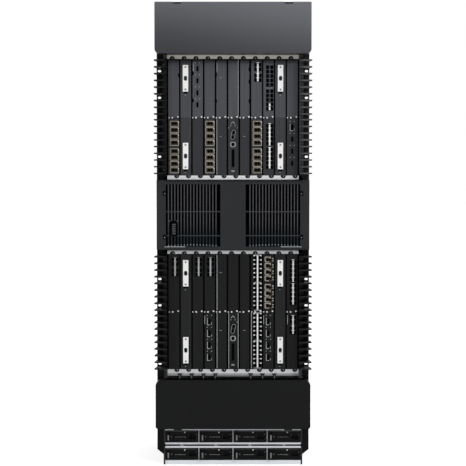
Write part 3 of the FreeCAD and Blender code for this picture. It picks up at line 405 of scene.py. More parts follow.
@dataclass(frozen=True)
class TraySheet(Finish):
    """The sloped tray, darkened towards its front by painted shade, with painted shadows that narrow to its hooks
    and painted shade along its front edge.
    """

    # Painted shade along the tray's front edge
    edge: str = "020203"
    # Painted shade towards the front, and painted shadows at the hooks
    mouth: str = "141415"
    slope: Point = (-0.284, -0.254)
    hook_shadow_spread: float = 0.27
    slot_shade_front: float = -0.2735
    slot_shade_more: float = 0.0045
    middle: float = 0.056

    def colour(self, graph: Graph) -> Signal:
        """Grey with painted shade towards the front, painted shadows at the hooks and black painted shade along the
        front edge.

        Args:
            graph: that gets the nodes.
        Returns:
            The base colour.
        """
        across, depth = graph.axis("X"), graph.axis("Y")
        # Painted shade towards the front
        sheet = graph.mix(1.0 - depth.ramp(*self.slope), super().colour(graph), tone(self.mouth))
        width = (depth - self.slope[0]) * self.hook_shadow_spread
        # Painted shadows that narrow to each hook
        for place in HOOKS:
            aside = across - place
            sheet = graph.mix(aside * aside < width * width, sheet, tone(self.mouth))
        # Painted shade along the front edge
        edge = (across.size() > self.middle) * self.slot_shade_more + self.slot_shade_front
        return graph.mix(depth < edge, sheet, tone(self.edge))


@dataclass(frozen=True)
class IntakePaint(Finish):
    """Panel black, with paler bars set back in its windows that carry painted highlights, painted shade and a
    painted reflection.
    """

    # Painted highlights on the bars' crests, painted shade on their flanks
    bar_highlight: str = "48494c"
    bar_shade: str = "0c0c0d"
    # Painted cool reflection on the bars low down
    foot: str = "10191d"
    fade: Point = (0.725, 0.785)
    fade_share: float = 0.8
    bar_front: float = -0.2685
    first_bar: float = 0.0536
    bar_pitch: float = 0.01003
    crest_half: float = 0.0015

    def colour(self, graph: Graph) -> Signal:
        """The panel, and the bars behind it: painted highlights on their crests between painted shade on their
        flanks, fading low down to a cool black that is a painted reflection.

        Args:
            graph: that gets the nodes.
        Returns:
            The base colour.
        """
        aside = (graph.axis("X").size() - self.first_bar).swing(self.bar_pitch / 2)
        # Painted highlights between painted shade
        bars = graph.mix(aside < self.crest_half, tone(self.bar_shade), tone(self.bar_highlight))
        # Painted cool reflection low down
        bars = graph.mix((1.0 - graph.axis("Z").ramp(*self.fade)) * self.fade_share, bars, tone(self.foot))
        return graph.mix(graph.axis("Y") > self.bar_front, super().colour(graph), bars)


@dataclass(frozen=True)
class LitBlack(Finish):
    """Black with painted light on the upper right."""

    # Painted light: the paler tone of the upper right
    lit_tone: str = "5a5b5f"
    lit_cells: float = 18.0
    lit_least: float = 0.35
    lit_more: float = 0.7

    def place(self, graph: Graph) -> Signal:
        """One on the upper right, else nought."""
        return (graph.axis("X") > 0.0) * (graph.axis("Z") > CAGE_SPLIT)

    def colour(self, graph: Graph) -> Signal:
        """Black, with painted light on the upper right, paler in patches."""
        lit_patch = self.place(graph) * (graph.noise(self.lit_cells) * self.lit_more + self.lit_least)
        return graph.mix(lit_patch, super().colour(graph), tone(self.lit_tone))


@dataclass(frozen=True)
class WallPaint(LitBlack):
    """Side wall black, with painted light in grey on the rack flange behind the upper right combs."""

    # Painted light on the upper right flange
    lit_tone: str = "2e2f32"
    lit_least: float = 0.4
    lit_more: float = 0.6
    flange_back: float = -0.2435

    def place(self, graph: Graph) -> Signal:
        """One on the upper right flange, else nought."""
        return super().place(graph) * (graph.axis("Y") < self.flange_back)


@dataclass(frozen=True)
class SupplyBlack(Finish):
    """Power supplies: black case, light pull bail and dark inlet with bright blades."""

    bail: str = "7d8082"
    blade: str = "57544c"
    bail_metal: float = 0.4
    bail_front: float = -0.2503
    inlet_back: float = -0.2424
    case_front: float = -0.2375
    rows: Point = (0.0325, 0.089)
    grip_half: float = 0.0085

    def colour(self, graph: Graph) -> Signal:
        """Case black, with the bail's bright grip in front of the bezel and the blades in the inlet.

        Args:
            graph: that gets the nodes.
        Returns:
            The base colour.
        """
        depth, level = graph.axis("Y"), graph.axis("Z")
        grips = [(level > row - self.grip_half) * (level < row + self.grip_half) for row in self.rows]
        bail = (depth < self.bail_front) * (grips[0] | grips[1])
        case = graph.mix(bail, super().colour(graph), tone(self.bail))
        blades = (depth > self.inlet_back) * (depth < self.case_front)
        return graph.mix(blades, case, tone(self.blade))

    def metalness(self, graph: Graph) -> Signal:
        """Metal on the bail alone."""
        return (graph.axis("Y") < self.bail_front) * self.bail_metal


@dataclass(frozen=True)
class BayPaint(Finish):
    """Power bay: bright rails at the front, with painted shade on the sheet behind them."""

    # Painted shade within the bay, and painted shadow under the cover
    bay_shade: str = "0a0a0b"
    front: float = -0.2440
    post: float = 0.2162
    roof: float = 0.1128

    def colour(self, graph: Graph) -> Signal:
        """Bright front edges between black posts, with painted shade within the bay and a painted shadow under the
        cover.

        Args:
            graph: that gets the nodes.
        Returns:
            The base colour.
        """
        across = graph.axis("X")
        # Painted shade behind the front and under the cover, and the black posts
        dark = (graph.axis("Y") > self.front) | (across * across > self.post ** 2) | (graph.axis("Z") > self.roof)
        return graph.mix(dark, super().colour(graph), tone(self.bay_shade))


@dataclass(frozen=True)
class CircuitBoard(Finish):
    """Green board with paler tracks."""

    track: str = "6c8a55"
    track_cells: float = 140.0
    track_stretch: Triple = (1.0, 0.2, 1.0)
    track_half: float = 0.06

    def colour(self, graph: Graph) -> Signal:
        """Solder-mask green crossed by tracks.

        Args:
            graph: that gets the nodes.
        Returns:
            The base colour.
        """
        settings = {"distance": "MANHATTAN", "feature": "DISTANCE_TO_EDGE"}
        inputs = {"Vector": graph.stretched(self.track_stretch), "Scale": self.track_cells}
        cells = graph.add("ShaderNodeTexVoronoi", settings, inputs, "Distance")
        return graph.mix(cells < self.track_half, super().colour(graph), tone(self.track))


@dataclass(frozen=True)
class OpenFoam(Finish):
    """Dust filter foam of open cells, with a painted bluish reflection low down."""

    # Painted bluish reflection on the lower half of the foam
    foam_reflection: str = "111c23"
    foam_reflection_levels: Point = (0.70, 0.80)

    def height(self, graph: Graph) -> Signal:
        """Round open cells."""
        inputs = {"Vector": graph.place(), "Scale": self.grain}
        return graph.add("ShaderNodeTexVoronoi", inputs=inputs, output="Distance")

    def colour(self, graph: Graph) -> Signal:
        """Dark foam, with a painted cool reflection in its lower half."""
        return graph.mix(1.0 - graph.axis("Z").ramp(*self.foam_reflection_levels), super().colour(graph), tone(self.foam_reflection))


DULL = {"specular": 0.1}
SHEET = {"drift": 16.0, "stretch": (0.08, 1.0, 1.0), "grain": 900.0, "grain_stretch": (0.04, 1.0, 1.0)}
CASE = {"rough": 0.5, "relief": 0.14, "specular": 0.1}
FACE = {"rough": 0.45, "relief": 0.06, "specular": 0.16}
LABEL = {"rough": 0.5, "drift": 60.0, "relief": 0.05}
HOOD_PAINT = HoodPaint("hood_paint", "hood_paint", "37383c", "3e3f43", rough=0.45, relief=0.08, specular=0.22)
BLACK_PAINT = Finish("black_paint", "black_paint", "050506", "0a0a0b", **CASE)
WALL_PAINT = WallPaint("wall_paint", "black_paint", "050506", "0a0a0b", **CASE)
INTAKE_PAINT = IntakePaint("intake_paint", "black_paint", "27282a", "303133", **DULL)
COVER_PLASTIC = Finish("cover_plastic", "cover_plastic", "121213", "18191a", **DULL)
SILL_SHEET = BayPaint("sill_sheet", "bright_sheet", "e6edf5", "f5f9fc", rough=0.4, metal=0.02, front=1.0, **SHEET)
LIP_SHEET = LipSheet("lip_sheet", "bright_sheet", "dcdee0", "f4f5f6", rough=0.36, metal=0.05, **SHEET)
BAY_SHEET = BayPaint("bay_sheet", "bright_sheet", "d2d5dc", "eceef3", rough=0.36, metal=0.12, **SHEET)
TRAY_SHEET = TraySheet("tray_sheet", "bright_sheet", "9b9d9f", "c3c5c7", rough=0.42, metal=0.1, specular=0.15,
                       **SHEET)
CARD_FACE = CardPaint("card_face", "card_face", "3b3c40", "5b5c61", **FACE)
FACE_PLATE = PlatePaint("face_plate", "card_face", "3b3c40", "5b5c61", **FACE)
# Module faces: the card paint with its painted light and shade by cage and half and its painted hood shadow, in the
# modules' own tones
MODULE_FACE = CardPaint("module_face", "card_face", "3f4044", "55565a", half_dark="333437", half_light="424346",
                        low_dark="18191a", low_light="252627", strip="3a3b3d", dim_strip="3a3b3d",
                        faint_strip="3a3b3d", **FACE)
LEVER_WHITE = Finish("lever_white", "lever_white", "eeefed", "fafaf8", rough=0.34, rough_drift=0.06, relief=0.05)
PIN_STEEL = Finish("pin_steel", "pin_steel", "8d9093", "b5b8ba", rough=0.3, metal=0.6, drift=60.0)
# Near-white screw heads: their brightness is a painted glint on polished steel
GLINT_SCREW = Finish("screw_glint", "pin_steel", "eaebeb", "fafafa", rough=0.3, metal=0.05, drift=90.0)
DARK_STEEL = Finish("dark_steel", "pin_steel", "4a4c4f", "606366", rough=0.36, metal=0.3, drift=60.0)
# Comb plastic with painted light on the upper right combs
COMB_PLASTIC = LitBlack("comb_plastic", "comb_plastic", "0d0d0e", "161617", rough=0.42, relief=0.1,
                           specular=0.22)
SUPPLY_BLACK = SupplyBlack("supply_black", "supply_black", "060607", "0d0d0f", rough=0.4, **DULL)
BOARD_GREEN = CircuitBoard("board_green", "board_green", "16301f", "1e3d28", rough=0.4, relief=0.2)
FILTER_FOAM = OpenFoam("filter_foam", "filter_foam", "020203", "060607", rough=0.85, grain=420.0, relief=0.7,
                       depth=0.0012, specular=0.03)
FAN_PLASTIC = Finish("fan_plastic", "fan_plastic", "0e0e10", "18181b", rough=0.38, relief=0.1, specular=0.3)
PORT_SHIELD = Finish("port_shield", "pin_steel", "9a9da0", "c0c3c5", rough=0.34, metal=0.15, drift=80.0)
PORT_RING = Finish("port_ring", "card_face", "0b0b0c", "161718", rough=0.4, drift=80.0, **DULL)
CAGE_BEIGE = Finish("cage_beige", "pin_steel", "cac2b1", "e8e1d1", rough=0.36, metal=0.08, drift=80.0)
CAGE_BROWN = Finish("cage_brown", "pin_steel", "38322a", "484137", rough=0.4, metal=0.1, drift=80.0, specular=0.2)
LABEL_WHITE = Finish("label_white", "lever_white", "e6e7e5", "f7f7f4", **LABEL)
LABEL_GREY = Finish("label_grey", "lever_white", "7d7f81", "9a9c9e", **LABEL)
DIM_GREY = Finish("dim_grey", "card_face", "4b4d4f", "626466", **LABEL)
RAIL_PAINT = Finish("rail_paint", "black_paint", "404143", "4c4d4f", drift=60.0, **DULL)
# Near black: black parts, and the strips and plates of painted shade and shadow
DARK_GAP = Finish("dark_gap", "black_paint", "020202", "050506", rough=0.7, specular=0.02)


# ---------------------------------------------------------------- meshes


def rounded(x: float, z: float, width: float, height: float, radius: float, steps: int = 4) -> list[Point]:
    """Outline of a rectangle with round corners.

    Args:
        x, z: its middle, in millimetres.
        width, height: its size.
        radius: of its corners.
        steps: points on each corner, less one.
    Returns:
        The outline's points in order.
    """
    least = 0.01
    radius = max(least, min(radius, width / 2 - least, height / 2 - least))
    points = []
    for corner, (side, rise) in enumerate(((1, 1), (-1, 1), (-1, -1), (1, -1))):
        for step in range(steps + 1):
            turn = math.pi / 2 * (corner + step / steps)
            points.append((x + side * (width / 2 - radius) + radius * math.cos(turn),
                           z + rise * (height / 2 - radius) + radius * math.sin(turn)))
    return points


def inset(outline: Sequence[Point], amount: float) -> list[Point]:
    """The outline, drawn in from its box.

    Args:
        outline: its points.
        amount: how far each side comes in.
    Returns:
        The smaller outline's points.
    """
    across = [point[0] for point in outline]
    up = [point[1] for point in outline]
    x, z = (min(across) + max(across)) / 2, (min(up) + max(up)) / 2
    narrow = 1 - 2 * amount / (max(across) - min(across))
    low = 1 - 2 * amount / (max(up) - min(up))
    return [(x + (point[0] - x) * narrow, z + (point[1] - z) * low) for point in outline]


def arch(x: float, z: float, outer: float, inner: float, way: int, steps: int = 12) -> list[Point]:
    """Outline of a half ring.

    Args:
        x, z: the middle of its foot.
        outer, inner: its radii.
        way: 1 where it stands upright, -1 where it hangs.
        steps: points on each arc, less one.
    Returns:
        The outline's points in order.
    """
    turns = [math.pi * step / steps for step in range(steps + 1)]
    points = [(x + outer * math.cos(turn), z + way * outer * math.sin(turn)) for turn in turns]
    return points + [(x + inner * math.cos(turn), z + way * inner * math.sin(turn)) for turn in reversed(turns)]


def turned(outline: Sequence[Point], degrees: float) -> list[Point]:
    """The outline, turned about the middle of its points.

    Args:
        outline: its points.
        degrees: the turn, against the clock as seen from the front.
    Returns:
        The turned points.
    """
    x = sum(point[0] for point in outline) / len(outline)
    z = sum(point[1] for point in outline) / len(outline)
    cos, sin = math.cos(math.radians(degrees)), math.sin(math.radians(degrees))
    return [(x + (point[0] - x) * cos - (point[1] - z) * sin, z + (point[0] - x) * sin + (point[1] - z) * cos)
            for point in outline]


@dataclass(frozen=True)
class Plate:
    """A small plate with round corners: how far it stands out of a face, its bevel and its root in the face."""

    width: float
    height: float
    radius: float
    rise: float = 0.7
    bevel: float = 0.2
    root: float = 0.2
    steps: int = 4

    def outline(self, x: float, z: float, turn: float = 0.0) -> list[Point]:
        """Its outline about a middle, turned by some degrees."""
        flat = rounded(x, z, self.width, self.height, self.radius, self.steps)
        return turned(flat, turn) if turn else flat


@dataclass(frozen=True)
class Well(Plate):
    """The black contact block at the bottom of a port."""

    rise: float = -2.6
    root: float = 3.9


@dataclass(frozen=True)
class Rim:
    """A small frame: its plate and the hole in it."""

    plate: Plate
    hole: Plate


@dataclass(frozen=True)
class Stud:
    """A screw or rivet head: its radius, how far it stands out of a face and its root in the face."""

    radius: float
    rise: float
    root: float = 0.2
    sides: int = 12


class Shape:
    """A mesh under construction, in millimetres in the frame of the CAD part."""

    head: tuple[Point, ...] = ((1.0, 0.0), (1.0, 0.5), (0.82, 0.86), (0.52, 1.0), (0.42, 1.0), (0.36, 0.4))

    def __init__(self) -> None:
        """Starts an empty mesh."""
        self.mesh = bmesh.new()

    def loop(self, outline: Sequence[Point], y: float) -> list[bmesh.types.BMVert]:
        """Adds the points of an outline at a depth."""
        return [self.mesh.verts.new((point[0], y, point[1])) for point in outline]

    def bridge(self, loops: Sequence[Sequence[bmesh.types.BMVert]]) -> None:
        """Joins each loop to the next one with faces.

        Args:
            loops: in order, with as many points each.
        """
        for first, second in zip(loops, loops[1:]):
            for spot in range(len(first)):
                after = (spot + 1) % len(first)
                self.mesh.faces.new((first[spot], first[after], second[after], second[spot]))

    def close(self, loops: Sequence[Sequence[bmesh.types.BMVert]]) -> None:
        """Joins the loops and caps both ends.

        Args:
            loops: in order, with as many points each.
        """
        self.bridge(loops)
        self.mesh.faces.new(loops[0])
        self.mesh.faces.new(loops[-1])

    def slab(self, outline: Sequence[Point], back: float, front: float, bevel: float) -> None:
        """A plate of any outline with a bevelled front edge.

        Args:
            outline: its shape in the XZ plane.
            back, front: the depths of its two faces.
            bevel: how far its front edge is cut.
        """
        self.close([self.loop(outline, back), self.loop(outline, front + bevel),
                    self.loop(inset(outline, bevel), front)])

    def plate(self, kind: Plate, x: float, z: float, face: float = CARD_FRONT, turn: float = 0.0) -> None:
        """A small plate on a face that looks to the front.

        Args:
            kind: its sizes.
            x, z: its middle.
            face: the face's depth, by default that of the cards.
            turn: in degrees.
        """
        self.slab(kind.outline(x, z, turn), face + kind.root, face - kind.rise, kind.bevel)

    def rim(self, kind: Rim, x: float, z: float, face: float = CARD_FRONT, shift: Point = (0.0, 0.0),
            turn: float = 0.0) -> None:
        """A small frame on a face that looks to the front, bevelled on its outer edge.

        Args:
            kind: its sizes.
            x, z: its middle.
            face: the face's depth, by default that of the cards.
            shift: of its hole.
            turn: in degrees.
        """
        outer = kind.plate.outline(x, z, turn)
        inner = kind.hole.outline(x + shift[0], z + shift[1], turn)
        back, front, bevel = face + kind.plate.root, face - kind.plate.rise, kind.plate.bevel
        loops = [self.loop(outer, back), self.loop(outer, front + bevel), self.loop(inset(outer, bevel), front),
                 self.loop(inner, front), self.loop(inner, back)]
        self.bridge(loops + loops[:1])

    def stud(self, kind: Stud, x: float, z: float, face: float = CARD_FRONT, way: int = -1) -> None:
        """A domed screw head with a socket in it.

        Args:
            kind: its sizes.
            x, z: its middle.
            face: the face's depth, by default that of the cards.
            way: -1 on a face that looks to the front, 1 on one that looks to the back.
        """
        turns = [math.tau * side / kind.sides for side in range(kind.sides)]
        loops = []
        for share, lift in self.head:
            reach = kind.radius * share
            points = [(x + reach * math.cos(turn), z + reach * math.sin(turn)) for turn in turns]
            loops.append(self.loop(points, face + way * (kind.rise * lift - kind.root)))
        self.close(loops)

    def face_side(self, side: int) -> None:
        """Turns what was built for the front to the right side (1) or the left side (-1)."""
        turn = Matrix.Rotation(side * math.pi / 2, 3, "Z")
        bmesh.ops.rotate(self.mesh, verts=self.mesh.verts, cent=(0.0, 0.0, 0.0), matrix=turn)

    def place(self, name: str, finish: Finish, body: str = "chassis") -> None:
        """Turns the mesh into a piece that rides on a body.

        Args:
            name: of the piece.
            finish: that it wears.
            body: that carries it.
        """
        bmesh.ops.recalc_face_normals(self.mesh, faces=self.mesh.faces)
        mesh = bpy.data.meshes.new(name)
        self.mesh.to_mesh(mesh)
        self.mesh.free()
        mesh.transform(Matrix.Scale(MILLIMETRE, 4))
        mesh.polygons.foreach_set("use_smooth", [True] * len(mesh.polygons))
        mesh.set_sharp_from_angle(angle=math.radians(SMOOTH_ANGLE))
        mesh.materials.append(finish.material())
        piece = bpy.data.objects.new(name, mesh)
        bpy.context.scene.collection.objects.link(piece)
        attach(piece, body)
        LOG.info("piece %s: %d faces on %s", name, len(mesh.polygons), body)


def dress(finish: Finish, *names: str) -> None:
    """Gives CAD nodes a finish.

    Args:
        finish: that they wear.
        names: of the nodes.
    """
    for name in names:
        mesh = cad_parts[name].data
        mesh.materials.clear()
        mesh.materials.append(finish.material())
    LOG.info("finish %s on %s", finish.name, ", ".join(names))


def corners(node: str) -> tuple[list[float], list[float]]:
    """Lowest and highest corner of a CAD node, in millimetres."""
    low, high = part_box(node)
    return [value / MILLIMETRE for value in low], [value / MILLIMETRE for value in high]


# ---------------------------------------------------------------- card cages


class Cage(Enum):
    """The two card cages."""

    LOWER = "lower"
    UPPER = "upper"

    @property
    def floor(self) -> float:
        """The height of the cards' lower ends."""
        return corners(self.value + "_left_fabric_module")[0][2]

    @property
    def ceiling(self) -> float:
        """The height of the cards' upper ends."""
        return corners(self.value + "_left_fabric_module")[1][2]


class Half(Enum):
    """The two card seats of a column."""

    BOTTOM = 0
    TOP = 1


HALF_CARD = (Cage.LOWER.ceiling - Cage.LOWER.floor - CARD_SPLIT) / 2
UP, DOWN, TOP, BOTTOM = Cage.UPPER, Cage.LOWER, Half.TOP, Half.BOTTOM


@dataclass(frozen=True)
class Seat:
    """A half-height seat in a cage."""

    cage: Cage
    column: int
    half: Half

    @property
    def x(self) -> float:
        """The middle of the column."""
        return (self.column - (COLUMN_COUNT + 1) / 2) * COLUMN_PITCH

    @property
    def low(self) -> float:
        """The lower end of the card."""
        return self.cage.floor + self.half.value * (HALF_CARD + CARD_SPLIT)

    @property
    def high(self) -> float:
        """The upper end of the card."""
        return self.low + HALF_CARD

    def banks(self, middle: float, rows: int, pitch: float, gap: float) -> list[float]:
        """Heights of ports in two banks with a break between them.

        Args:
            middle: of the banks, above the card's lower end.
            rows: of ports in both banks.
            pitch: of the rows.
            gap: by which the break is longer than the pitch.
        Returns:
            The rows' heights from the lowest up.
        """
        levels = []
        for row in range(rows):
            side = 1 if row >= rows // 2 else -1
            levels.append(self.low + middle + (row - (rows - 1) / 2) * pitch + side * gap / 2)
        return levels


Seats = tuple[Seat, ...]
ShiftedSeats = tuple[tuple[Seat, float], ...]
PlateGroup = tuple[tuple[float, float, Plate], ...]


@dataclass
class CardFixings:
    """What all the cards share: their paint, screws, black strips of painted shadow in the seams, gaskets and pull
    marks.
    """

    nodes: tuple[str, ...] = ("quad_port_cards", "framed_port_cards", "eight_port_cards", "twin_row_cards",
                              "socket_cards", "management_cards", "filler_panels")
    fabric_columns: tuple[int, ...] = (2, 10)
    side_at: float = -15.0
    top_at: float = -4.5
    bottom_at: float = 13.0
    notch_at: float = 9.0
    screw_inset: float = 0.9
    side_screw: Stud = Stud(1.9, 1.8)
    captive_screw: Stud = Stud(2.7, 2.4)
    notch_screw: Stud = Stud(1.3, 6.4)
    notch_shift: Point = (1.5, 2.0)
    # Black half rings of painted shadow round the lips' notches
    notch_shadow_radii: Point = (8.2, 6.2)
    notch_shadow_lift: float = 0.3
    notch_shadow_root: float = 0.2
    notch_shadow_rise: float = 0.3
    notch_shadow_bevel: float = 0.05
    # Black strip of painted shadow in each seam between columns
    seam: Plate = Plate(4.8, 0.0, 0.6, 0.3, 0.1, 1.2)
    seam_short: float = 1.0
    seam_shifts: tuple[float, ...] = (0.5, 1.2, 1.4, 1.4, 1.4, 1.6, -2.0, 0.0, 0.0, 0.0)
    # Black plate of painted shade at a latch notch
    seam_notch: Plate = Plate(7.4, 13.0, 2.4, 0.6, root=0.4)
    seam_notches: tuple[Point, ...] = (
        (-170.0, 1239.0), (-128.0, 1246.0), (-128.0, 1160.0), (-54.4, 1241.0), (-54.4, 1158.0), (53.0, 1258.0),
        (53.0, 1219.0), (53.0, 1158.0))
    gasket: Plate = Plate(1.5, HALF_CARD - 6.0, 0.4)
    gaskets: ShiftedSeats = (
        (Seat(UP, 6, TOP), 16.4), (Seat(UP, 5, BOTTOM), -13.6), (Seat(DOWN, 5, TOP), -13.2),
        (Seat(DOWN, 5, BOTTOM), -13.2), (Seat(DOWN, 6, BOTTOM), -13.4), (Seat(DOWN, 6, BOTTOM), 16.4),
        (Seat(DOWN, 8, BOTTOM), -16.6))
    short_gasket: Plate = Plate(1.3, 28.0, 0.4)
    short_drop: float = 26.0
    short_gaskets: ShiftedSeats = (
        (Seat(UP, 5, TOP), -13.0), (Seat(UP, 3, TOP), -12.6), (Seat(DOWN, 4, BOTTOM), -15.0),
        (Seat(DOWN, 9, BOTTOM), -15.0), (Seat(DOWN, 11, BOTTOM), -14.0))
    pull_mark: Plate = Plate(8.0, 1.3, 0.4, 0.5)
    pull_shift: Point = (-1.5, -60.0)
    pull_seats: Seats = (Seat(UP, 5, TOP), Seat(UP, 5, BOTTOM), Seat(UP, 7, BOTTOM), Seat(DOWN, 5, TOP),
                         Seat(DOWN, 5, BOTTOM), Seat(DOWN, 7, BOTTOM))

    def build(self) -> None:
        """Dresses the card nodes and the backplane, and adds what all the cards share."""
        dress(CARD_FACE, *self.nodes)
        dress(BOARD_GREEN, "backplane")
        self.screws()
        self.seams()
        self.lines()

    def screws(self) -> None:
        """Captive screws where the half cards meet, those that show in the lips' notches, and black half rings of
        painted shadow round the notches.
        """
        heads, ends, notch_shadows = Shape(), Shape(), Shape()
        for cage in Cage:
            for column in range(1, COLUMN_COUNT + 1):
                below, above = Seat(cage, column, BOTTOM), Seat(cage, column, TOP)
                for offset, edge, way in ((self.top_at, above.high, 1), (self.notch_at, below.low, -1)):
                    x = below.x + offset
                    ends.stud(self.notch_screw, x + self.notch_shift[0], edge + way * self.notch_shift[1],
                              FLANGE_FRONT)
                    # Painted shadow round each of the lips' notches
                    notch_shadows.slab(arch(x, edge + way * self.notch_shadow_lift, *self.notch_shadow_radii, way),
                               LIP_FRONT + self.notch_shadow_root, LIP_FRONT - self.notch_shadow_rise, self.notch_shadow_bevel)
                if column in self.fabric_columns:
                    continue
                top, foot = below.high - self.screw_inset, above.low + self.screw_inset
                heads.stud(self.side_screw, below.x + self.side_at, top)
                heads.stud(self.captive_screw, below.x + self.top_at, top)
                heads.stud(self.captive_screw, below.x + self.bottom_at, foot)
        # Screw heads in a near-white painted glint
        heads.place("card_screws", GLINT_SCREW)
        ends.place("notch_screws", GLINT_SCREW)
        notch_shadows.place("lip_notch_shadows", DARK_GAP)

    def seams(self) -> None:
        """Black strips of painted shadow along the seams between the columns, and black plates of painted shade
        where some of them have latch notches.
        """
        seam_shadows = Shape()
        for cage in Cage:
            seal = replace(self.seam, height=cage.ceiling - cage.floor - self.seam_short)
            for number, shift in enumerate(self.seam_shifts):
                x = (number - (COLUMN_COUNT - 2) / 2) * COLUMN_PITCH + shift
                seam_shadows.plate(seal, x, (cage.floor + cage.ceiling) / 2)
        for x, z in self.seam_notches:
            seam_shadows.plate(self.seam_notch, x, z)
        seam_shadows.place("card_seam_shadows", DARK_GAP)

    def lines(self) -> None:
        """Thin spring gaskets that show as light lines on the edges of some cards, and pull-tab marks."""
        strips, marks = Shape(), Shape()
        for seat, offset in self.gaskets:
            strips.plate(self.gasket, seat.x + offset, (seat.low + seat.high) / 2)
        for seat, offset in self.short_gaskets:
            strips.plate(self.short_gasket, seat.x + offset, seat.high - self.short_drop)
        for seat in self.pull_seats:
            marks.plate(self.pull_mark, seat.x + self.pull_shift[0], seat.high + self.pull_shift[1])
        strips.place("card_gaskets", PORT_SHIELD)
        marks.place("card_pull_marks", LABEL_GREY)


@dataclass
class QuadPortCards:
    """Cards with four large ports: mouth plates, open brackets and lamp pairs."""

    seats: Seats = (Seat(UP, 3, TOP), Seat(UP, 11, BOTTOM), Seat(DOWN, 4, BOTTOM), Seat(DOWN, 9, BOTTOM))
    plain_seat: Seat = Seat(UP, 11, BOTTOM)
    count: int = 4
    pitch: float = 38.0
    lift: float = 4.0
    mouth: Rim = Rim(Plate(11.4, 21.4, 2.0, 0.3, 0.1, 0.3), Plate(6.8, 17.2, 3.0))
    well: Well = Well(8.6, 18.6, 1.0)
    bracket: PlateGroup = (
        (-6.6, 0.0, Plate(1.7, 22.0, 0.5, 1.2, 0.3)), (-2.6, -11.2, Plate(9.4, 1.7, 0.5, 1.2, 0.3)),
        (6.4, -7.4, Plate(1.5, 7.0, 0.5, 1.2, 0.3)))
    lamp: Plate = Plate(3.2, 3.2, 1.5, 0.6)
    lamp_shift: Point = (6.8, 18.8)

    def build(self) -> None:
        """Adds the parts of each port; the top port of one card has a bracket in place of its plate."""
        plates, wells, brackets, lamps = Shape(), Shape(), Shape(), Shape()
        for seat in self.seats:
            for level in range(self.count):
                z = seat.low + HALF_CARD / 2 + self.lift + (level - (self.count - 1) / 2) * self.pitch
                plain = seat == self.plain_seat and level == self.count - 1
                if not plain:
                    plates.rim(self.mouth, seat.x, z)
                wells.plate(self.well, seat.x, z)
                if seat.cage is DOWN or plain:
                    for x, rise, bar in self.bracket:
                        brackets.plate(bar, seat.x + x, z + rise)
                for side in SIDES:
                    lamps.plate(self.lamp, seat.x + side * self.lamp_shift[0], z + self.lamp_shift[1])
        plates.place("quad_port_plates", FACE_PLATE)
        wells.place("quad_port_wells", DARK_GAP)
        brackets.place("quad_port_brackets", PORT_SHIELD)
        lamps.place("quad_port_lamps", LABEL_GREY)


@dataclass
class FramedPortCards:
    """Cards with eight outlined ports: plates with a pinched mouth, and a lamp beside each."""

    seats: Seats = (Seat(UP, 1, BOTTOM), Seat(UP, 4, BOTTOM), Seat(UP, 8, BOTTOM), Seat(DOWN, 9, TOP))
    shift: float = 2.0
    count: int = 8
    margin: float = 17.0
    gap: float = 7.0
    well: Well = Well(21.6, 11.2, 1.0)
    mouth: Rim = Rim(Plate(26.0, 15.6, 1.2, 0.7, 0.1, 0.3), Plate(16.4, 9.8, 3.4))
    mouth_drop: float = 1.8
    hole_lift: float = 1.0
    waist: Plate = Plate(4.6, 3.0, 1.3, 0.7, root=2.4)
    waist_shift: Point = (0.6, -0.8)
    waist_out: float = 4.2
    lamp: Plate = Plate(2.2, 3.6, 1.0, 1.6)
    lamp_shift: Point = (12.4, 3.2)
    outline: Rim = Rim(Plate(27.8, 17.4, 1.8, 1.3, 0.25, 0.3), Plate(25.8, 15.4, 1.2))
    bracket: PlateGroup = (
        (-12.6, 0.0, Plate(1.6, 15.0, 0.6, 1.3, 0.3)), (-4.0, 7.8, Plate(18.0, 1.5, 0.6, 1.3, 0.3)),
        (-6.5, -7.6, Plate(12.0, 1.4, 0.6, 1.3, 0.3)), (12.8, -4.2, Plate(2.0, 3.4, 0.6, 1.3, 0.3)),
        (3.6, 4.6, Plate(1.4, 5.0, 0.6, 1.3, 0.3)))

    def build(self) -> None:
        """Adds the parts of each port: a closed outline in the upper cage, open brackets in the lower one."""
        outlines, brackets, plates, wells, lamps, waists = (Shape() for _ in range(6))
        pitch = (HALF_CARD - self.margin - self.gap) / self.count
        for seat in self.seats:
            x = seat.x + self.shift
            for z in seat.banks(HALF_CARD / 2, self.count, pitch, self.gap):
                wells.plate(self.well, x, z)
                plates.rim(self.mouth, x, z - self.mouth_drop, shift=(0.0, self.hole_lift))
                for side in SIDES:
                    waists.plate(self.waist, x + self.waist_shift[0],
                                 z + self.waist_shift[1] + side * self.waist_out)
                lamps.plate(self.lamp, x + self.lamp_shift[0], z + self.lamp_shift[1])
                if seat.cage is UP:
                    outlines.rim(self.outline, x, z - self.mouth_drop)
                    continue
                for aside, rise, bar in self.bracket:
                    brackets.plate(bar, x + aside, z + rise)
        outlines.place("framed_port_outlines", CAGE_BEIGE)
        brackets.place("framed_port_brackets", CAGE_BEIGE)
        plates.place("framed_port_plates", CAGE_BROWN)
        waists.place("framed_port_waists", CAGE_BROWN)
        wells.place("framed_port_wells", DARK_GAP)
        lamps.place("framed_port_lamps", LABEL_WHITE)


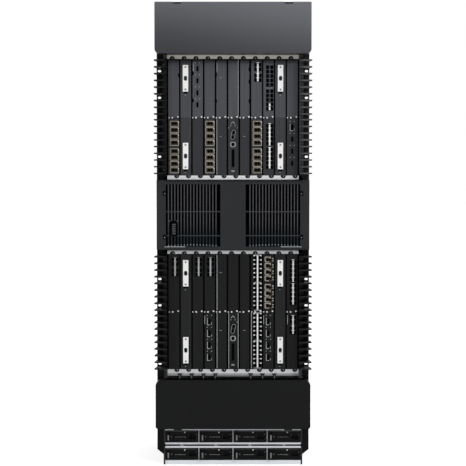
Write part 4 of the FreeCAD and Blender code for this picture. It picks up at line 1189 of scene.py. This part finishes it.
@dataclass
class SmallPortCards:
    """Cards with two files of small ports along a strip: black mouths, and ticks that branch from the strip."""

    eight: Seats = (Seat(UP, 8, TOP), Seat(DOWN, 1, TOP), Seat(DOWN, 3, TOP), Seat(DOWN, 4, TOP),
                    Seat(DOWN, 11, BOTTOM))
    twin: Seats = (Seat(UP, 9, TOP), Seat(UP, 9, BOTTOM), Seat(DOWN, 11, TOP))
    bright: Seats = (Seat(UP, 8, TOP), Seat(UP, 9, BOTTOM), Seat(DOWN, 11, TOP), Seat(DOWN, 11, BOTTOM))
    eight_rows: int = 4
    twin_rows: int = 10
    shift: float = 3.5
    pitch: float = 13.9
    gap: float = 6.0
    margin: float = 15.0
    mouth: Rim = Rim(Plate(10.0, 12.8, 2.4, 0.4, 0.2, 0.3), Plate(7.4, 10.8, 1.6))
    mouth_out: float = 6.9
    hole_out: float = 6.7
    well: Well = Well(7.2, 10.6, 0.6)
    tick: Plate = Plate(9.0, 2.0, 0.9, 1.4)
    tick_lift: float = 6.95
    strip_break: Plate = Plate(7.0, 4.4, 0.8, 1.5)
    cross_line: Plate = Plate(17.0, 2.0, 0.7, 1.0)

    def build(self) -> None:
        """Adds the ports of both kinds of card and the ticks in three tones."""
        rings, wells = Shape(), Shape()
        ticks = {LABEL_WHITE: Shape(), LABEL_GREY: Shape(), DIM_GREY: Shape()}
        middles = {self.eight_rows: HALF_CARD - self.margin - 2 * self.pitch, self.twin_rows: HALF_CARD / 2}
        for seats, rows in ((self.eight, self.eight_rows), (self.twin, self.twin_rows)):
            for seat in seats:
                x, middle = seat.x + self.shift, seat.low + middles[rows]
                finish = LABEL_WHITE if seat in self.bright else LABEL_GREY if seat.cage is DOWN else DIM_GREY
                for z in seat.banks(middles[rows], rows, self.pitch, self.gap):
                    for side in SIDES:
                        shift = (side * (self.hole_out - self.mouth_out), 0.0)
                        rings.rim(self.mouth, x + side * self.mouth_out, z, shift=shift)
                        wells.plate(self.well, x + side * self.hole_out, z)
                    ticks[finish].plate(self.tick, x, z + self.tick_lift)
                if finish is LABEL_WHITE and rows == self.twin_rows:
                    wells.plate(self.strip_break, x, middle)
                if finish is DIM_GREY:
                    ticks[LABEL_GREY].plate(self.cross_line, x, middle)
        rings.place("small_port_mouths", PORT_RING)
        wells.place("small_port_wells", DARK_GAP)
        for finish, shape in ticks.items():
            shape.place("small_port_ticks_" + finish.name, finish)


@dataclass
class SocketCards:
    """Cards with two files of sockets: mouths, cross lines, lamps, and brackets at their middle and ends."""

    seats: Seats = (Seat(DOWN, 8, TOP), Seat(DOWN, 8, BOTTOM))
    shift: float = 3.0
    rows: int = 12
    margin: float = 12.0
    gap: float = 7.0
    out: float = 6.7
    mouth: Rim = Rim(Plate(9.8, 12.0, 1.0, 0.4, 0.2, 0.3), Plate(8.4, 10.5, 0.5))
    well: Well = Well(8.0, 10.2, 0.6)
    lamp: Plate = Plate(4.4, 4.4, 2.0, 1.1, 0.3)
    lamp_out: float = 10.8
    line: Plate = Plate(20.0, 1.2, 0.4, 0.8)
    bracket: Plate = Plate(24.0, 2.0, 0.8, 1.4, 0.4)
    bracket_out: float = 9.0

    def build(self) -> None:
        """Adds the parts of each socket and the brackets."""
        rings, wells, lines, lamps, brackets = (Shape() for _ in range(5))
        pitch = (HALF_CARD - self.margin - self.gap) / self.rows
        for seat in self.seats:
            x = seat.x + self.shift
            levels = seat.banks(HALF_CARD / 2, self.rows, pitch, self.gap)
            for z in levels:
                for side in SIDES:
                    rings.rim(self.mouth, x + side * self.out, z)
                    wells.plate(self.well, x + side * self.out, z)
                    lamps.plate(self.lamp, x + side * self.lamp_out, z + pitch / 2)
                lines.plate(self.line, x, z + pitch / 2)
            for z in (levels[0] - self.bracket_out, seat.low + HALF_CARD / 2, levels[-1] + self.bracket_out):
                brackets.plate(self.bracket, x, z)
        rings.place("socket_mouths", PORT_RING)
        wells.place("socket_wells", DARK_GAP)
        lines.place("socket_lines", LABEL_GREY)
        lamps.place("socket_lamps", LABEL_WHITE)
        brackets.place("socket_brackets", PORT_SHIELD)


@dataclass
class ManagementCards:
    """Management cards: memory slot, ring connector, sockets, latch loop, pointer and button."""

    seats: Seats = (Seat(UP, 6, BOTTOM), Seat(DOWN, 6, BOTTOM))
    slot_at: float = 55.0
    slot: Rim = Rim(Plate(9.6, 57.0, 2.0, 0.4, 0.25, 0.3), Plate(6.8, 53.8, 0.8))
    slot_well: Well = Well(6.6, 53.6, 0.6)
    ring_at: float = 98.5
    ring: Rim = Rim(Plate(18.6, 17.0, 6.6, 1.6, 0.5, 0.3), Plate(11.0, 12.4, 5.4))
    well: Well = Well(10.6, 12.6, 2.0)
    well_count: int = 3
    well_pitch: float = 20.0
    loop_at: Point = (0.6, 129.0)
    loop: Rim = Rim(Plate(12.6, 31.0, 6.0, 1.0, 0.25, 0.3), Plate(10.0, 28.4, 4.8))
    loop_turn: float = -11.0
    pointer: Plate = Plate(2.2, 9.0, 0.8, 0.8, 0.3)
    pointer_at: Point = (3.4, 17.0)
    pointer_turn: float = 34.0
    dot: Plate = Plate(3.0, 3.4, 1.4, 0.7)
    dot_drops: Point = (26.0, 33.0)
    dot_apex: float = 19.0
    button: Plate = Plate(10.0, 5.0, 1.4, 0.9, 0.3)
    button_at: float = 14.0

    def build(self) -> None:
        """Adds the parts of both cards."""
        rings, loops, rims, wells, marks = (Shape() for _ in range(5))
        for seat in self.seats:
            x, low = seat.x, seat.low
            rims.rim(self.slot, x, low + self.slot_at)
            wells.plate(self.slot_well, x, low + self.slot_at)
            for level in range(self.well_count):
                wells.plate(self.well, x, low + self.ring_at + self.well_pitch * level)
            rings.rim(self.ring, x, low + self.ring_at)
            loops.rim(self.loop, x + self.loop_at[0], low + self.loop_at[1], turn=self.loop_turn)
            for side in SIDES:
                marks.plate(self.pointer, x + side * self.pointer_at[0], seat.high - self.pointer_at[1],
                            turn=side * self.pointer_turn)
                for drop in self.dot_drops:
                    marks.plate(self.dot, x + side * (drop - self.dot_apex), seat.high - drop)
            marks.plate(self.button, x, low + self.button_at)
        rings.place("management_rings", LABEL_GREY)
        loops.place("management_loops", LABEL_GREY)
        rims.place("memory_slot_rims", PORT_RING)
        wells.place("management_wells", DARK_GAP)
        marks.place("management_pointers", LABEL_GREY)


@dataclass
class FabricModules:
    """The full-height modules with their white ejector levers."""

    screw: Stud = Stud(3.2, 1.6)
    screw_inset: float = 6.5
    thumb_rim: Rim = Rim(Plate(10.6, 15.6, 5.2, 0.7, 0.25, 0.3, 6), Plate(8.9, 13.9, 4.45, steps=6))
    # Black plate of painted shadow below each lever
    lever_shadow: Plate = Plate(12.0, 5.0, 2.0, 1.2, 0.4)
    lever_shadow_drop: float = 3.4
    lamp: Plate = Plate(3.4, 3.0, 1.4, 0.8)
    lamp_shift: Point = (-1.0, -11.0)

    def build(self) -> None:
        """Dresses the modules and each lever, and adds black plates of painted shadow and lamps below the levers.
        """
        dress(PIN_STEEL, "lever_pins")
        shadow_plates, lamps = Shape(), Shape()
        for cage in ("upper", "lower"):
            for side in ("left", "right"):
                dress(MODULE_FACE, "%s_%s_fabric_module" % (cage, side))
                for end in ("bottom", "top"):
                    name = "%s_%s_%s_lever" % (cage, side, end)
                    self.lever(name)
                    low, high = corners(name)
                    x = (low[0] + high[0]) / 2
                    shadow_plates.plate(self.lever_shadow, x, low[2] - self.lever_shadow_drop)
                    lamps.plate(self.lamp, x + self.lamp_shift[0], low[2] + self.lamp_shift[1])
        shadow_plates.place("lever_shadow_plates", DARK_GAP)
        lamps.place("lever_lamps", LABEL_GREY)

    def lever(self, name: str) -> None:
        """One lever, with the screws and the thumb-hole rim that ride on it.

        Args:
            name: of the lever's node and body.
        """
        dress(LEVER_WHITE, name)
        low, high = corners(name)
        x, z, front = (low[0] + high[0]) / 2, (low[2] + high[2]) / 2, low[1]
        screws, rim = Shape(), Shape()
        for level in (low[2] + self.screw_inset, high[2] - self.screw_inset):
            screws.stud(self.screw, x, level, front)
        rim.rim(self.thumb_rim, x, z, front)
        screws.place(name + "_screws", LABEL_GREY, name)
        rim.place(name + "_rim", DIM_GREY, name)


@dataclass
class CageLips:
    """Bright lips and shelves round the cards, and the tray under the lower cage."""

    cap: Plate = Plate(3.2, 10.0, 0.8, 0.5, 0.3, 3.0)
    cap_lift: float = 4.0
    baffle: Plate = Plate(414.0, 28.0, 0.5, 3.0, 0.3, 0.0)
    baffle_back: float = -240.0
    baffle_drop: float = 5.0

    def build(self) -> None:
        """Dresses the shelves and the tray, caps the tray's hooks and closes the air slot under it."""
        dress(LIP_SHEET, "upper_cage_floor", "upper_cage_ceiling", "lower_cage_floor", "lower_cage_ceiling")
        dress(TRAY_SHEET, "cable_tray")
        low = corners("cable_tray")[0]
        caps, baffle = Shape(), Shape()
        for place in HOOKS:
            caps.plate(self.cap, place / MILLIMETRE, low[2] + self.cap_lift, low[1])
        caps.place("tray_hook_caps", DIM_GREY)
        baffle.plate(self.baffle, 0.0, low[2] - self.baffle_drop, self.baffle_back)
        baffle.place("tray_slot_baffle", DARK_GAP)


# ---------------------------------------------------------------- covers, intake, combs


@dataclass
class Covers:
    """Top hood, lower cover and the metal case round them."""

    clip: Plate = Plate(25.0, 4.6, 0.6, -0.6, 0.3, 8.6)
    clip_out: float = 174.5
    clip_drop: float = 3.6
    rib: Plate = Plate(1.8, 2.2, 0.5, -1.0, 0.3, 8.0)
    rib_count: int = 4
    rib_pitch: float = 5.0
    rib_drop: float = 1.4
    seal: Plate = Plate(436.0, 1.3, 0.3, 5.5, 0.2, 0.0)
    seal_back: float = -245.0
    seal_drop: float = 0.7
    rivet: Stud = Stud(3.4, 1.5)
    wall_out: float = 221.5
    rivet_lines: Point = (-215.0, 272.0)
    rivet_count: int = 8
    rivet_foot: float = 70.0
    rivet_pitch: float = 190.0

    def build(self) -> None:
        """Dresses the covers and the case and adds the hood's spring clips, its seal and the walls' rivets."""
        dress(HOOD_PAINT, "hood")
        dress(COVER_PLASTIC, "lower_cover")
        dress(WALL_PAINT, "left_side_wall", "right_side_wall")
        dress(BLACK_PAINT, "top_panel", "rear_panel", "power_rear_panel")
        low, high = corners("hood")
        clips, seal = Shape(), Shape()
        for side in SIDES:
            x = side * self.clip_out
            clips.plate(self.clip, x, high[2] - self.clip_drop, low[1])
            for rib in range(self.rib_count):
                aside = (rib - (self.rib_count - 1) / 2) * self.rib_pitch
                clips.plate(self.rib, x + aside, high[2] - self.rib_drop, low[1])
        clips.place("hood_clips", DARK_GAP)
        seal.plate(self.seal, 0.0, low[2] - self.seal_drop, self.seal_back)
        seal.place("hood_seal", DARK_GAP)
        for side, name in zip(SIDES, ("left", "right")):
            self.rivets(side, name)

    def rivets(self, side: int, name: str) -> None:
        """Flush rivets along the front and rear edges of a side wall.

        Args:
            side: -1 for the left wall, 1 for the right one.
            name: the side in a word.
        """
        heads = Shape()
        for along in self.rivet_lines:
            for step in range(self.rivet_count):
                heads.stud(self.rivet, side * along, self.rivet_foot + step * self.rivet_pitch, -self.wall_out)
        heads.face_side(side)
        heads.place(name + "_wall_rivets", DARK_STEEL)


@dataclass
class Intake:
    """Barred air intake with its latches, painted highlights on the sloped ledge under each window, rails and
    status box.
    """

    latch: Plate = Plate(9.0, 14.0, 1.4, 1.6, 0.5, 0.3)
    latch_out: float = 217.0
    latch_levels: Point = (0.19, 0.82)
    pin: Stud = Stud(2.0, 1.4)
    pin_out: float = 216.0
    pin_drop: float = 1.0
    # Bright strip of painted highlight on the sloped ledge under each window
    ledge: Plate = Plate(66.0, 2.0, 0.6, 0.8, 0.3, 0.3)
    ledge_at: Point = (184.0, 9.0)
    bar_foot: Plate = Plate(2.4, 4.6, 0.8, -2.4, 0.2, 3.2)
    bar_count: int = 16
    bar_pitch: float = 10.03
    bar_middle: float = 128.85
    bar_lift: float = 12.5
    bar_bow: float = 3.0
    rail: Plate = Plate(171.0, 2.0, 0.6, -2.5, 0.3, 6.0)
    rail_out: float = 126.2
    rail_levels: Point = (120.0, 44.0)
    seam: Plate = Plate(440.0, 1.6, 0.5, 0.5, 0.1)
    seam_drop: float = 3.0
    box: Plate = Plate(27.0, 48.0, 2.0, -2.2, 0.6, 9.0)
    box_at: Point = (-188.0, 67.0)
    rung: Plate = Plate(11.0, 2.6, 0.8, -1.4, 0.3, 3.0)
    rung_at: Point = (-187.0, 50.0)
    rung_count: int = 6
    rung_pitch: float = 6.0
    cap: Plate = Plate(4.0, 3.4, 1.4, -1.4, 0.3, 3.0)
    cap_at: Point = (12.0, 90.5)

    def build(self) -> None:
        """Dresses the panel and the filter and adds the small parts on them."""
        dress(INTAKE_PAINT, "intake_panel")
        dress(FILTER_FOAM, "intake_filter")
        finishes = {"latches": DARK_GAP, "latch_pins": LABEL_GREY, "ledge_highlights": PORT_SHIELD, "bar_feet": LABEL_GREY,
                    "rails": RAIL_PAINT, "sensor_box": DARK_GAP, "sensor_ladder": DIM_GREY, "top_seam": DARK_GAP}
        shapes = {name: Shape() for name in finishes}
        low, high = corners("intake_panel")
        front = low[1]
        for side in SIDES:
            for share in self.latch_levels:
                z = high[2] - share * (high[2] - low[2])
                shapes["latches"].plate(self.latch, side * self.latch_out, z, front)
                shapes["latch_pins"].stud(self.pin, side * self.pin_out, z - self.pin_drop, front - self.latch.rise)
            shapes["ledge_highlights"].plate(self.ledge, side * self.ledge_at[0], low[2] + self.ledge_at[1], front)
            half = (self.bar_count - 1) / 2
            for bar in range(self.bar_count):
                lift = self.bar_lift + self.bar_bow * (1.0 - abs(bar - half) / half)
                shapes["bar_feet"].plate(self.bar_foot, side * self.bar_middle + (bar - half) * self.bar_pitch,
                                         low[2] + lift, front)
            for rise in self.rail_levels:
                shapes["rails"].plate(self.rail, side * self.rail_out, low[2] + rise, front)
        shapes["top_seam"].plate(self.seam, 0.0, high[2] - self.seam_drop, front)
        shapes["sensor_box"].plate(self.box, self.box_at[0], low[2] + self.box_at[1], front)
        for rung in range(self.rung_count):
            shapes["sensor_ladder"].plate(self.rung, self.rung_at[0],
                                          low[2] + self.rung_at[1] + self.rung_pitch * rung, front)
        for side in SIDES:
            shapes["sensor_ladder"].plate(self.cap, self.box_at[0] + side * self.cap_at[0],
                                          low[2] + self.cap_at[1], front)
        for name, shape in shapes.items():
            shape.place("intake_" + name, finishes[name])


@dataclass
class CableCombs:
    """Plastic combs on both rack flanges."""

    link: Plate = Plate(13.6, 13.4, 0.3, 3.6, 0.3)
    link_out: float = 216.5
    rivet: Stud = Stud(2.6, 1.6)
    rivet_out: float = 219.0
    rivet_inset: float = 14.0
    rivet_drop: float = 13.0
    strip_front: float = -250.0

    def build(self) -> None:
        """Dresses the combs and adds the fasteners that hold each strip and the link between its two units."""
        rivets, links = Shape(), Shape()
        for cage in ("upper", "lower"):
            for sign, side in zip(SIDES, ("left", "right")):
                name = "%s_%s_combs" % (cage, side)
                dress(COMB_PLASTIC, name)
                low, high = corners(name)
                middle = (low[2] + high[2]) / 2
                for level in (low[2] + self.rivet_inset, middle - self.rivet_drop, high[2] - self.rivet_inset):
                    rivets.stud(self.rivet, sign * self.rivet_out, level, self.strip_front)
                links.plate(self.link, sign * self.link_out, middle, FLANGE_FRONT)
        rivets.place("comb_rivets", DARK_STEEL)
        links.place("comb_links", COMB_PLASTIC)


# ---------------------------------------------------------------- power and rear


@dataclass
class PowerBay:
    """Bay, sill and the eight sliding supplies."""

    bays: int = 4
    pitch: float = 108.9
    clip: Plate = Plate(9.0, 3.4, 0.6, 2.6, 0.4, 0.0)
    clip_height: float = 61.7
    rail_front: float = -243.0
    bezel_front: float = -250.0
    lamp: Stud = Stud(2.0, 1.0, 0.3, 10)
    lamp_at: Point = (9.4, -5.6)
    screw: Stud = Stud(2.6, 2.0, 0.3)
    screw_at: float = -33.0
    inlet: Rim = Rim(Plate(29.0, 22.0, 2.5, 1.0, 0.25, 0.3), Plate(25.2, 18.2, 1.0))
    inlet_at: float = 35.05
    grip: Plate = Plate(40.0, 6.0, 1.4, 1.2, 0.4, 0.3)
    grip_at: Point = (-4.0, -1.0)
    rib: Plate = Plate(1.7, 2.8, 0.6, 1.8, 0.2, -1.0)
    rib_count: int = 9
    rib_pitch: float = 4.0
    # Grey strip of painted highlight along each supply's top edge
    edge: Plate = Plate(96.0, 0.9, 0.3, 0.5, 0.1, 0.3)
    edge_drop: float = 2.6
    dot: Plate = Plate(2.0, 2.0, 0.8, 0.7, 0.2, 0.3)
    dots: tuple[Point, ...] = ((22.0, 6.0), (46.0, 7.0), (48.0, -5.0))

    def build(self) -> None:
        """Dresses the bay, the sill and each supply, and adds the clips on the middle rail."""
        dress(BAY_SHEET, "power_bay")
        dress(SILL_SHEET, "bottom_pan")
        clips = Shape()
        for bay in range(self.bays):
            x = (bay - (self.bays - 1) / 2) * self.pitch
            clips.plate(self.clip, x, self.clip_height, self.rail_front)
        clips.place("rail_clips", PORT_SHIELD)
        for level in ("lower", "upper"):
            for bay in range(1, self.bays + 1):
                self.supply("%s_power_supply_%d" % (level, bay))

    def supply(self, name: str) -> None:
        """One supply, with the lamp, screw, inlet rim, ribbed grip, marks and a painted highlight along its top
        edge that ride on it.

        Args:
            name: of the supply's node and body.
        """
        dress(SUPPLY_BLACK, name)
        low, high = corners(name)
        x, z, front = (low[0] + high[0]) / 2, (low[2] + high[2]) / 2, self.bezel_front
        finishes = {"lamp": LABEL_WHITE, "marks": LABEL_GREY, "screw": DARK_STEEL, "inlet_rim": PORT_RING,
                    "grip": DARK_GAP, "edge": DIM_GREY}
        shapes = {key: Shape() for key in finishes}
        shapes["lamp"].stud(self.lamp, x + self.lamp_at[0], high[2] + self.lamp_at[1], front)
        shapes["screw"].stud(self.screw, x + self.screw_at, z, front)
        shapes["inlet_rim"].rim(self.inlet, x + self.inlet_at, z, front)
        shapes["grip"].plate(self.grip, x + self.grip_at[0], z + self.grip_at[1], front)
        shapes["edge"].plate(self.edge, x, high[2] - self.edge_drop, front)
        for rib in range(self.rib_count):
            aside = (rib - (self.rib_count - 1) / 2) * self.rib_pitch
            shapes["marks"].plate(self.rib, x + self.grip_at[0] + aside, z + self.grip_at[1], front)
        for across, rise in self.dots:
            shapes["marks"].plate(self.dot, x + across, z + rise, front)
        for key, shape in shapes.items():
            shape.place(name + "_" + key, finishes[key], name)


@dataclass
class RearFans:
    """Fan trays and rotors behind, with the fasteners of the trays and the rear panels."""

    fans: int = 3
    side_inset: float = 9.0
    tray_screw: Stud = Stud(4.2, 3.0)
    tray_inset: float = 9.0
    tray_back: float = 290.0
    panel_screw: Stud = Stud(3.2, 2.0)
    panel_inset: float = 14.0
    panel_rows: int = 7
    power_inset: float = 10.0

    def build(self) -> None:
        """Dresses the rear and adds its screws."""
        screws = Shape()
        for level in ("lower", "upper"):
            dress(BLACK_PAINT, level + "_fan_tray")
            dress(FAN_PLASTIC, *["%s_fan_rotor_%d" % (level, fan + 1) for fan in range(self.fans)])
            low, high = corners(level + "_fan_tray")
            for x in (low[0] + self.side_inset, high[0] - self.side_inset):
                for z in (low[2] + self.tray_inset, high[2] - self.tray_inset):
                    screws.stud(self.tray_screw, x, z, self.tray_back, 1)
        low, high = corners("rear_panel")
        pitch = (high[2] - low[2] - 2 * self.panel_inset) / (self.panel_rows - 1)
        for x in (low[0] + self.side_inset, high[0] - self.side_inset):
            for step in range(self.panel_rows):
                screws.stud(self.panel_screw, x, low[2] + self.panel_inset + step * pitch, high[1], 1)
        low, high = corners("power_rear_panel")
        for x in (low[0] + self.side_inset, 0.0, high[0] - self.side_inset):
            for z in (low[2] + self.power_inset, high[2] - self.power_inset):
                screws.stud(self.panel_screw, x, z, high[1], 1)
        screws.place("rear_screws", PIN_STEEL)


# ---------------------------------------------------------------- studio


@dataclass(frozen=True)
class Softbox:
    """A square lamp: its place, size in metres and power in watts."""

    name: str
    spot: Triple
    size: float
    power: float


@dataclass
class Studio:
    """Pale floor, white surroundings, soft lamps and the camera."""

    camera_back: float = 5.306
    camera_height: float = 0.961
    camera_pitch: float = 2.5
    camera_reach: float = 100.0
    focal_pixels: float = 1594.8
    image_pixels: float = 466.0
    sensor: float = 36.0
    ambient: float = 0.55
    studio_dark: float = 0.08
    horizon: Point = (-0.1, 0.5)
    floor_half: float = 30.0
    floor_tones: Point = (0.78, 0.82)
    floor_cells: float = 30.0
    floor_glow: float = 0.64
    aim_height: float = 0.75
    lamps: tuple[Softbox, ...] = (
        Softbox("key_lamp", (1.9, -3.4, 3.1), 1.8, 62.0), Softbox("fill_lamp", (-2.6, -3.2, 1.7), 1.8, 26.0),
        Softbox("rim_lamp", (0.6, 2.8, 2.9), 1.6, 30.0))

    def build(self) -> None:
        """Builds the world, floor, lamps and camera."""
        scene = bpy.context.scene
        scene.view_settings.view_transform = "Standard"
        self.world(scene)
        self.floor(scene)
        for kind in self.lamps:
            self.lamp(scene, kind)
        self.camera(scene)

    def world(self, scene: bpy.types.Scene) -> None:
        """White to the camera and in reflections from behind, a dim studio otherwise.

        Args:
            scene: that gets the world.
        """
        world = bpy.data.worlds.new("studio_world")
        scene.world = world
        graph = Graph(world)
        behind = graph.axis("Y", "Generated").ramp(*self.horizon)
        glossy = graph.mix(behind, grey(self.studio_dark), grey(1.0))
        light = graph.mix(graph.ray("Glossy"), grey(self.ambient), glossy)
        seen = graph.mix(graph.ray("Camera") | graph.ray("Transmission"), light, grey(1.0))
        background = graph.add("ShaderNodeBackground", inputs={"Color": seen, "Strength": 1.0})
        graph.add("ShaderNodeOutputWorld", inputs={"Surface": background})

    def floor(self, scene: bpy.types.Scene) -> None:
        """A pale floor that keeps the shadow and looks white to the camera.

        Args:
            scene: that gets the floor.
        """
        mesh = bmesh.new()
        bmesh.ops.create_grid(mesh, x_segments=2, y_segments=2, size=self.floor_half)
        data = bpy.data.meshes.new("studio_floor")
        mesh.to_mesh(data)
        mesh.free()
        floor = bpy.data.objects.new("studio_floor", data)
        scene.collection.objects.link(floor)
        made = bpy.data.materials.new("studio_floor")
        graph = Graph(made)
        speckle = graph.mix(graph.noise(self.floor_cells), *(grey(level) for level in self.floor_tones))
        paint = graph.add("ShaderNodeBsdfDiffuse", inputs={"Color": speckle})
        seen = graph.ray("Camera") | graph.ray("Glossy") | graph.ray("Transmission")
        glow = graph.add("ShaderNodeEmission", inputs={"Color": graph.mix(seen, grey(0.0), grey(self.floor_glow))})
        graph.surface(graph.add("ShaderNodeAddShader", inputs={0: paint, 1: glow}))
        data.materials.append(made)

    def lamp(self, scene: bpy.types.Scene, kind: Softbox) -> None:
        """A square softbox that faces the middle of the object.

        Args:
            scene: that gets the lamp.
            kind: its place, size and power.
        """
        data = bpy.data.lights.new(kind.name, "AREA")
        data.energy = kind.power
        data.size = kind.size
        lamp = bpy.data.objects.new(kind.name, data)
        lamp.location = kind.spot
        aim = Vector((0.0, 0.0, self.aim_height)) - Vector(kind.spot)
        lamp.rotation_euler = aim.to_track_quat("-Z", "Y").to_euler()
        scene.collection.objects.link(lamp)

    def camera(self, scene: bpy.types.Scene) -> None:
        """The camera at the photograph's view.

        Args:
            scene: that gets the camera.
        """
        data = bpy.data.cameras.new("photo_camera")
        data.sensor_width = self.sensor
        data.lens = self.focal_pixels * self.sensor / self.image_pixels
        data.clip_end = self.camera_reach
        camera = bpy.data.objects.new("photo_camera", data)
        camera.location = (0.0, -self.camera_back, self.camera_height)
        camera.rotation_euler = (math.radians(90.0 - self.camera_pitch), 0.0, 0.0)
        scene.collection.objects.link(camera)
        scene.camera = camera


def main() -> None:
    """Builds and dresses the sub-assemblies in order."""
    logging.basicConfig(level=logging.INFO, format="%(name)s: %(message)s")
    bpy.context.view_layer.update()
    for part in (Studio(), Covers(), CardFixings(), QuadPortCards(), FramedPortCards(), SmallPortCards(),
                 SocketCards(), ManagementCards(), FabricModules(), CageLips(), Intake(), CableCombs(), PowerBay(),
                 RearFans()):
        part.build()
        LOG.info("built %s", type(part).__name__)


if __name__ == "__main__":
    main()
